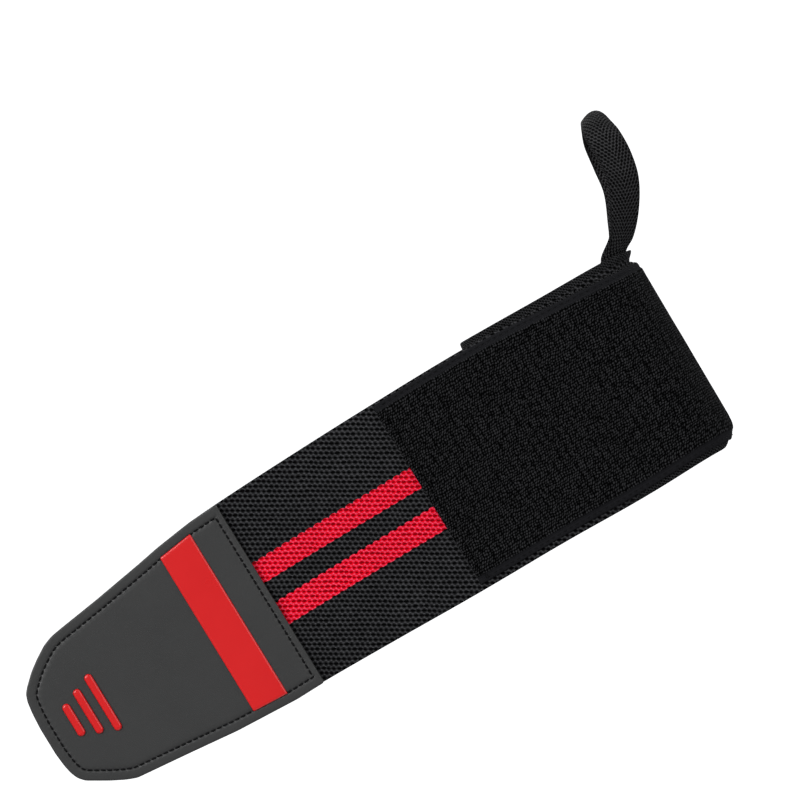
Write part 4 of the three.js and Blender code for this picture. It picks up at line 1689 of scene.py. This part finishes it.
@dataclass
class HookPad:
    """The hook tape behind the rubber: a woven ground and its standing hooks.

    Args:
        tab: The tab's form.
        inset: How much smaller than the rubber it is, all round.
        ground: The ground's thickness.
        rings: Inset and draw-in of each ring, with a valley along the seam.
        bare_rim: Width of the rim that bears no hooks.
        hook_height: The hooks' height over the ground.
        hook_reach: How far a hook's bend would reach at a share of one.
        hook_radius: Half a hook's thickness.
        hook_path: Reach, height and thickness of a hook's stations, as shares.
        lean: How far the hooks turn from their rows, in radians.
        spacing: Distance between hooks along and across.
    """

    tab: TabForm
    inset: float = 0.6
    ground: float = 0.8
    rings: tuple[Pair, ...] = (
        (0.0, 0.22), (0.10, 0.08), (0.30, 0.0), (1.2, 0.0), (2.4, 0.0), (3.3, 0.10), (4.2, 0.0), (5.5, 0.0),
    )
    bare_rim: float = 5.2
    hook_height: float = 0.8
    hook_reach: float = 0.9
    hook_radius: float = 0.11
    hook_path: tuple[Triple, ...] = (
        (0.0, -0.05, 1.2), (0.0, 0.55, 1.0), (0.16, 0.95, 1.0), (0.42, 0.86, 0.95), (0.50, 0.62, 0.7),
    )
    lean: float = 0.25
    spacing: Pair = (1.55, 1.3)

    def front_y(self, x: Array) -> Array:
        """Y of the face on the band's end, stepping up to the rubber's back.

        Args:
            x: Where it is asked for.

        Returns:
            Y at each X.
        """
        start = self.tab.start_x - self.tab.end_under_tab - 0.6
        share = smooth_step(start - x, 0.0, self.tab.hook_jog)
        return self.tab.hook_on_band + share * (self.tab.hook_on_rubber - self.tab.hook_on_band)

    def hooks(self) -> Surface:
        """The field of hooks: bent four-sided stems on a shifted lattice inside the rim.

        Returns:
            All the hooks as one surface.
        """
        outline = inset_outline(self.tab.outline(1.0), self.inset + self.bare_rim)
        step_x, step_z = self.spacing
        xs = np.arange(outline[:, 0].min(), outline[:, 0].max(), step_x)
        zs = np.arange(outline[:, 1].min(), outline[:, 1].max(), step_z)
        x, z = np.meshgrid(xs, zs, indexing="ij")
        z = z + (np.arange(len(xs)) % 2)[:, None] * step_z / 2
        inside = inside_outline(outline, x.ravel(), z.ravel())
        x, z = x.ravel()[inside, None], z.ravel()[inside, None]
        rng = np.random.default_rng(12)
        lean = rng.uniform(-self.lean, self.lean, len(x)) + np.where(np.arange(len(x)) % 2 == 0, 0.0, math.pi)
        lean = lean[:, None]
        reach, height, thickness = np.array(self.hook_path).T
        off, up = reach * self.hook_reach, height * self.hook_height
        base = self.front_y(x) + self.ground
        middle = np.stack([x + np.cos(lean) * off, base + up, z + np.sin(lean) * off], -1)
        return tube_field(middle, self.hook_radius * thickness, 4)

    def build(self, finish: Material, hook_finish: Material) -> list[Piece]:
        """Makes the ground and the hooks on it.

        Args:
            finish: The ground's weave.
            hook_finish: The hooks' nylon.

        Returns:
            Both pieces.
        """
        outline = inset_outline(self.tab.outline(0.9), self.inset)
        surface = rimmed_plate(
            outline,
            self.rings,
            self.front_y,
            lambda x: self.front_y(x) + self.ground,
            inner_rings=22,
            shift=lambda plan, inset: self.tab.nearer_end(plan, inset + self.inset),
        )
        ground = make_piece("hook_ground", surface, finish, 60.0)
        hooks = make_piece("hook_field", self.hooks(), hook_finish, 60.0)
        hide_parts("hook_pad")
        return [ground, hooks]


@dataclass
class RedBand:
    """The raised glossy band across the tab.

    Args:
        tab: The tab's form.
        offset: Its distance from the tab's inner end.
        width: Its width.
        height: How far it stands over its seat.
        margin: Distance of its ends from the tab's edges.
        seat_gap: The frame's gap under it.
        sink: How deep its back stands in the rubber.
        crown: How much the middle of its width stands over its sides.
        rings: Inset and draw-in of each ring of its rim.
    """

    tab: TabForm
    offset: float = 13.8
    width: float = 14.2
    height: float = 0.6
    margin: float = 3.6
    seat_gap: float = 0.1
    sink: float = 0.5
    crown: float = 0.05
    rings: tuple[Pair, ...] = (
        (0.0, 0.55), (0.10, 0.32), (0.28, 0.17), (0.52, 0.06), (0.85, 0.0), (1.5, 0.0), (2.8, 0.0),
    )

    def build(self, finish: Material) -> Piece:
        """Makes the band with softened edges.

        Args:
            finish: The glossy rubber.

        Returns:
            The piece.
        """
        right = self.tab.start_x - self.offset
        left = right - self.width
        corners = []
        for x, order in ((right, (0, 1)), (left, (1, 0))):
            edges = self.tab.edges_at(x)
            inner = (edges[0] + self.margin, edges[1] - self.margin)
            corners += [(x, inner[k]) for k in order]
        outline = closed_outline(np.array(corners), 0.4, 1.0)
        front = self.tab.rubber_front - self.seat_gap - self.height

        def lifted(x: Array) -> Array:
            """The face's Y: a plate whose crown falls off by the square of the way to its side."""
            return front - self.crown * (1 - ((x - (left + right) / 2) / (self.width / 2)) ** 2)

        back = flat_face(self.tab.rubber_front + self.sink)
        surface = rimmed_plate(outline, self.rings, lifted, back, inner_rings=4)
        piece = make_piece("red_cross_band", surface, finish, 60.0)
        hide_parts("red_band")
        return piece


@dataclass
class GripBars:
    """The three raised bars near the tip.

    Args:
        tab: The tab's form.
        width: A bar's width.
        height: How far it stands over its seat.
        seat_gap: The frame's gap under it.
        sink: How deep its back stands in the rubber.
        rings: Inset and draw-in of each ring of its side.
        rows: Name, share of the tab's length, and shares of half the band's width of both ends.
    """

    tab: TabForm
    width: float = 3.1
    height: float = 0.9
    seat_gap: float = 0.1
    sink: float = 0.4
    rings: tuple[Pair, ...] = (
        (0.0, 0.85), (0.05, 0.60), (0.16, 0.38), (0.34, 0.20), (0.58, 0.08), (0.88, 0.02), (1.15, 0.0),
    )
    rows: tuple[tuple[str, float, float, float], ...] = (
        ("grip_bar_1", 0.746, 0.268, -0.356), ("grip_bar_2", 0.811, 0.202, -0.289),
        ("grip_bar_3", 0.874, 0.134, -0.219),
    )

    def build(self, finish: Material) -> list[Piece]:
        """Makes the bars: stadiums whose sides roll over to a low crown.

        Args:
            finish: The glossy rubber.

        Returns:
            The three pieces.
        """
        made = []
        front = flat_face(self.tab.rubber_front - self.seat_gap - self.height)
        back = flat_face(self.tab.rubber_front + self.sink)
        radius = self.width / 2
        for name, share, upper, lower in self.rows:
            x = self.tab.start_x - share * self.tab.length
            top, bottom = upper * self.tab.half_band - radius, lower * self.tab.half_band + radius
            turn = np.linspace(0, math.pi, 15)
            ends = [(x + radius * math.cos(t), top + radius * math.sin(t)) for t in turn]
            ends += [(x - radius * math.cos(t), bottom - radius * math.sin(t)) for t in turn]
            outline = closed_outline(np.array(ends), 0.25, 0.4)
            surface = rimmed_plate(outline, self.rings, front, back, inner_rings=1)
            piece = make_piece("raised_" + name, surface, finish, 60.0)
            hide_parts(name)
            made.append(piece)
        return made


# Thread


def tube_field(middles: Array, radii: Array, sides: int) -> Surface:
    """Many small bent tubes, one for each middle line, closed at both ends.

    A ring of points stands round each station of a middle line, square to its run.

    Args:
        middles: Tubes by stations by three.
        radii: The radius at each station.
        sides: Points in a ring, four or six.

    Returns:
        All the tubes as one surface.
    """
    count, stations = middles.shape[:2]
    run = unit(np.gradient(middles, axis=1))
    hint = np.where(np.abs(run[:, :1, 1:2]) < 0.8, np.array([0.0, 1.0, 0.0]), np.array([0.0, 0.0, 1.0]))
    side = unit(np.cross(run, np.broadcast_to(hint, run.shape)))
    up = np.cross(side, run)
    angle = np.arange(sides) / sides * TURN
    wheel = side[:, :, None] * np.cos(angle)[:, None] + up[:, :, None] * np.sin(angle)[:, None]
    points = middles[:, :, None] + wheel * radii[None, :, None, None]
    number = ring_numbers(count, stations, sides)
    faces = [quads_between(number[:, :-1], number[:, 1:], flipped=True)]
    for k in range(0, sides - 2, 2):
        faces.append(number[:, 0, [0, k + 1, k + 2, k + 3]])
        faces.append(number[:, -1, [0, k + 3, k + 2, k + 1]])
    walked = walked_along(middles)[:, :, None]
    cloth = np.stack(np.broadcast_arrays(walked, np.arange(sides) / sides), -1)
    return Surface(points.reshape(-1, 3), np.concatenate(faces), cloth.reshape(-1, 2))


@dataclass(frozen=True)
class StitchRow:
    """A row of stitches on a face.

    Args:
        name: The row's name.
        centres: The stitches' middles on the face.
        runs: The direction of each stitch.
        ups: The face's outward direction at each stitch.
        length: A stitch's length.
        radius: The thread's radius.
        rise: How high a stitch's middle lies over the face.
        sink: How deep its ends go.
    """

    name: str
    centres: Array
    runs: Array
    ups: Array
    length: float = 2.0
    radius: float = 0.27
    rise: float = 0.08
    sink: float = 0.42

    def surface(self) -> Surface:
        """The stitches as arched tubes: rise at the middle, and down by the cube of the way out.

        Returns:
            All of the row's stitches as one surface.
        """
        t = np.linspace(-1, 1, 7)
        arch = self.rise - (self.rise + self.sink) * np.abs(t) ** 3
        forward = unit(self.runs)[:, None] * (t * self.length / 2)[None, :, None]
        middle = self.centres[:, None] + forward + unit(self.ups)[:, None] * arch[None, :, None]
        return tube_field(middle, self.radius * np.sqrt(1 - 0.75 * t**4), 6)


@dataclass
class Sewing:
    """All the rows of thread that show.

    Args:
        form: The band's form.
        tab: The rubber tab.
        hook: The hook pad.
        pile: The pile patch.
        strap: The thumb strap.
        patch_pitch: Distance between the patch's stitches.
        selvedge_inset: Distance of its long rows from its edges.
        end_span: How far its short rows reach, as a share of half its width.
        end_height: Their height over the patch's back.
        foot_drops: Distances of the feet's rows below where the strap leaves the band's edge.
    """

    form: BandForm
    tab: RubberTab
    hook: HookPad
    pile: PileField
    strap: ThumbStrap
    patch_pitch: float = 2.5
    selvedge_inset: float = 1.15
    end_span: float = 0.955
    end_height: float = 0.68
    foot_drops: tuple[float, ...] = (3.5, 10.5, 17.0)

    def tab_row(self, face: Face) -> StitchRow:
        """The row round the tab, on the rubber or on the hook side.

        Args:
            face: The outer face is the rubber's and the skin side the hook pad's.

        Returns:
            The row, with each stitch's run taken between points half a millimetre to both sides.
        """
        line, walked, pitch = self.tab.seam_line()
        at = np.arange(pitch / 2, walked[-1] - 0.1, pitch)

        def on_line(away: float) -> Array:
            """The line's points that far on from each stitch's middle, with no Y yet."""
            x, z = (np.interp(at + away, walked, column) for column in line.T)
            return np.stack([x, 0 * x, z], -1)

        centres, ahead = on_line(0.0), on_line(0.5) - on_line(-0.5)
        if face is Face.OUTER:
            centres[:, 1] = self.tab.tab.rubber_front + self.tab.groove
        else:
            centres[:, 1] = self.hook.front_y(centres[:, 0]) + self.hook.ground
        ups = np.broadcast_to(np.array([0.0, -face.value, 0.0]), ahead.shape)
        name = "tab_stitches" if face is Face.OUTER else "hook_stitches"
        return StitchRow(name, centres, ahead, ups, length=1.85, radius=0.40, rise=0.02, sink=0.40)

    def on_band(
        self, name: str, along: Array, across: Callable[[Array], Array], height: float, runs_along: bool,
        **sizes: float,
    ) -> StitchRow:
        """A row on a face of the band's form, along it or across it.

        Args:
            name: The row's name.
            along: Millimetres along the band to each stitch.
            across: The distance above the centre line at each place.
            height: Height of the face off the layer's skin side.
            runs_along: Whether the stitches run along the band.
            **sizes: The thread's sizes.

        Returns:
            The row, whose outward direction is square to the run and to the way across.
        """
        place = self.form.place(along)
        offset = across(place)
        at = self.form.point(place, offset, height)
        ahead = self.form.point(self.form.place(along + 0.4), offset, height) - at
        aside = self.form.point(place, offset + 0.4, height) - at
        ups = np.cross(unit(aside), unit(ahead))
        return StitchRow(name, at, ahead if runs_along else aside, ups, **sizes)

    def pile_rows(self) -> list[StitchRow]:
        """Rows along both selvedges of the patch and across both its sewn ends.

        Returns:
            The four rows.
        """
        first, last = self.pile.ends
        height = self.pile.seat + self.pile.selvedge_thickness
        inset = self.selvedge_inset / self.pile.half_width
        rows = []
        for name, share in (("lower", -1.0), ("upper", 1.0)):
            along = np.arange(first + 2.0, last - 2.0, self.patch_pitch)
            line = partial(self.pile.from_centre, share=share * (1 - inset))
            sizes = {"length": 1.7, "radius": 0.16, "rise": 0.05, "sink": 0.25}
            rows.append(self.on_band("patch_stitches_" + name, along, line, height, True, **sizes))
        for name, at in (("end", last - self.pile.fold), ("start", first + self.pile.fold)):
            shares = np.arange(-self.end_span, self.end_span + 0.001, self.patch_pitch / 36.5)
            along = np.full(len(shares), at)
            line = partial(self.pile.from_centre, share=shares)
            height = self.pile.seat + self.end_height
            sizes = {"length": 1.9, "radius": 0.18, "rise": 0.05, "sink": 0.25}
            rows.append(self.on_band("patch_stitches_" + name, along, line, height, False, **sizes))
        return rows

    def foot_rows(self) -> list[StitchRow]:
        """Bars of stitches that hold the strap's feet, on the skin side.

        Returns:
            Three rows for each foot.
        """
        rows = []
        skin = -(self.form.layer_gap + self.strap.thickness)
        sizes = {"length": 2.1, "radius": 0.2, "rise": 0.1, "sink": 0.3}
        for side in (1, -1):
            place = side * self.strap.foot_turn
            along = self.form.along(place) + np.arange(-5.2, 5.3, 1.3)
            for number, drop in enumerate(self.foot_drops):
                level = float(self.form.half_width(place)) + self.strap.foot_rise - drop
                name = f"foot_stitches_{'front' if side > 0 else 'back'}_{number}"
                row = self.on_band(name, along, flat_face(level), skin, False, **sizes)
                rows.append(replace(row, ups=-row.ups))
        return rows

    def build(self, finish: Material) -> list[Piece]:
        """Makes each group of rows as one piece.

        Args:
            finish: The thread.

        Returns:
            The pieces.
        """
        groups = {
            "tab_stitches": ([self.tab_row(Face.OUTER)], "rubber"),
            "hook_stitches": ([self.tab_row(Face.SKIN)], "hook"),
            "patch_stitches": (self.pile_rows(), "pile"),
            "foot_stitches": (self.foot_rows(), "strap"),
        }
        return [
            make_piece(name, Surface.joined([row.surface() for row in rows]), finish, 60.0)
            for name, (rows, slot) in groups.items()
        ]


# Studio


@dataclass
class Studio:
    """The camera, the lights and a plain pale floor that rises into a wall all round.

    Args:
        eye: The camera's place in metres.
        roll: How far the camera is rolled, in degrees.
        lens: Its focal length in millimetres on a 36 mm sensor.
        floor: The floor's height in metres.
        floor_reach: Radius of its flat part.
        bend: Radius of the quarter round between the floor and the wall.
        wall: The wall's height.
        around: How many sides the bowl has.
        pale: The floor's linear colour.
        glow: Strength of its own light, which keeps it white.
        aim: The point that the lights face.
        lamps: Name, place, size and power of each light.
        sky: Colour and strength of the pale surroundings.
    """

    eye: Triple = (-0.0648, -1.626, 0.0363)
    roll: float = 31.5
    lens: float = 194.4
    floor: float = -0.30
    floor_reach: float = 2.6
    bend: float = 1.4
    wall: float = 4.5
    around: int = 96
    pale: Triple = (0.86, 0.86, 0.86)
    glow: float = 0.75
    aim: Triple = (-0.09, 0, 0)
    lamps: tuple[tuple[str, Triple, float, float], ...] = (
        ("key", (-1.1, -1.5, 1.3), 1.3, 34.0),
        ("fill", (1.3, -1.3, 0.2), 1.6, 12.0),
        ("back", (-0.2, 1.6, 1.0), 1.6, 30.0),
        ("side", (1.7, 0.8, 0.7), 1.2, 16.0),
        ("under", (-0.4, -0.4, -1.5), 1.2, 3.0),
    )
    sky: tuple[Triple, float] = ((0.95, 0.97, 1.0), 0.35)

    def camera(self) -> None:
        """A camera that looks along +Y, rolled as the photograph is."""
        data = bpy.data.cameras.new("camera")
        data.lens, data.sensor_width = self.lens, 36.0
        data.clip_start, data.clip_end = 0.05, 30.0
        camera = bpy.data.objects.new("camera", data)
        turn = math.radians(self.roll)
        right = Vector((math.cos(turn), 0, -math.sin(turn)))
        up = Vector((math.sin(turn), 0, math.cos(turn)))
        axes = Matrix((right, up, Vector((0, -1, 0)))).transposed()
        camera.matrix_world = Matrix.Translation(self.eye) @ axes.to_4x4()
        bpy.context.scene.collection.objects.link(camera)
        bpy.context.scene.camera = camera

    def light(self, name: str, place: Triple, size: float, power: float) -> None:
        """A square soft light that faces the wrap.

        Args:
            name: The light's name.
            place: Its place in metres.
            size: Its side in metres.
            power: Its power in watts.
        """
        data = bpy.data.lights.new(name, "AREA")
        data.shape, data.size, data.energy = "SQUARE", size, power
        lamp = bpy.data.objects.new(name, data)
        lamp.location = place
        lamp.rotation_mode = "QUATERNION"
        lamp.rotation_quaternion = (Vector(self.aim) - Vector(place)).to_track_quat("-Z", "Y")
        bpy.context.scene.collection.objects.link(lamp)

    def backdrop(self) -> None:
        """A bowl: a flat floor, a quarter round and a wall, turned round the upright axis."""
        flat = np.linspace(0.0, self.floor_reach, 8)[1:]
        lean = np.linspace(0, math.pi / 2, 16)[1:]
        edge = self.floor_reach + self.bend
        radius = np.concatenate([flat, self.floor_reach + self.bend * np.sin(lean), [edge]])
        rise = np.concatenate([0 * flat, self.bend * (1 - np.cos(lean)), [self.wall]])
        angle = np.linspace(0, TURN, self.around + 1)[:-1]
        x = -0.1 + radius[:, None] * np.cos(angle)
        y = radius[:, None] * np.sin(angle)
        points = np.stack([x, y, np.broadcast_to((self.floor + rise)[:, None], x.shape)], -1).reshape(-1, 3)
        number = ring_numbers(len(radius), self.around)
        faces = quads_between(number[:-1], number[1:], flipped=True)
        mesh = bpy.data.meshes.new("floor")
        mesh.from_pydata(points.tolist(), [], [*faces.tolist(), number[0, :-1].tolist()])
        mesh.polygons.foreach_set("use_smooth", np.ones(len(mesh.polygons), bool))
        material, w, shader = new_material("floor")
        paler = tuple(c * 1.01 for c in self.pale)
        w.put(shader.inputs["Base Color"], w.blend(w.noise(None, 3.0), self.pale, paler))
        shader.inputs["Roughness"].default_value = 0.9
        shader.inputs["Specular IOR Level"].default_value = 0.1
        shader.inputs["Emission Color"].default_value = (1, 1, 1, 1)
        shader.inputs["Emission Strength"].default_value = self.glow
        mesh.materials.append(material)
        floor = bpy.data.objects.new("floor", mesh)
        floor.visible_diffuse = floor.visible_glossy = False
        bpy.context.scene.collection.objects.link(floor)

    def build(self) -> None:
        """Sets up the camera, the floor, the lights and the pale surroundings."""
        self.camera()
        self.backdrop()
        for lamp in self.lamps:
            self.light(*lamp)
        world = bpy.data.worlds.new("studio")
        world.use_nodes = True
        colour, strength = self.sky
        background = world.node_tree.nodes["Background"]
        background.inputs["Color"].default_value = colour + (1.0,)
        background.inputs["Strength"].default_value = strength
        bpy.context.scene.world = world
        bpy.context.scene.view_settings.view_transform = "Standard"


def main() -> None:
    """Builds the studio, the finishes and each sub-assembly in order, and reports them."""
    logging.basicConfig(level=logging.INFO, format="%(name)s: %(message)s")
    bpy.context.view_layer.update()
    Studio().build()
    write_yarn_lattice()
    write_handling()
    write_moulded_grain()

    stripes = ((4.3, 12.6), (-13.5, -4.2))
    woven = WovenFinish("woven_elastic", stripes=stripes).build()
    strap_weave = WovenFinish(
        "strap_weave", pitch=2.5, row=0.74, hole=(0.35, 0.21), depth=0.34, selvedge=(6.0, 6.4),
        mirrored=True, ground=Yarn.STRAP_BLACK.value,
    ).build()
    pile_finish = PileFinish("knitted_pile").build()
    rubber = MouldedFinish(
        "moulded_rubber", colour=(0.025, 0.0252, 0.0247), roughness=0.50, grain=0.05
    ).build()
    red = MouldedFinish(
        "glossy_red", colour=(0.70, 0.003, 0.004), roughness=0.30, grain=0.012, grain_scale=0.6,
        coat=0.2, tone=0.06, dust=0.02,
    ).build()
    hook_weave = HookFinish("hook_weave").build()
    nylon = ThreadFinish("hook_nylon", (0.010, 0.010, 0.011)).build()
    thread = ThreadFinish("black_thread", (0.0025, 0.0025, 0.003)).build()

    form, tab_form = BandForm(), TabForm()
    band, pile, strap = WovenBand(form), PileField(form), ThumbStrap(form)
    tab, hook = RubberTab(tab_form), HookPad(tab_form)
    band.build(woven)
    pile.build(pile_finish)
    strap.build(strap_weave)
    tab.build(rubber)
    hook.build(hook_weave, nylon)
    RedBand(tab_form).build(red)
    GripBars(tab_form).build(red)
    Sewing(form, tab, hook, pile, strap).build(thread)


if __name__ == "__main__":
    main()
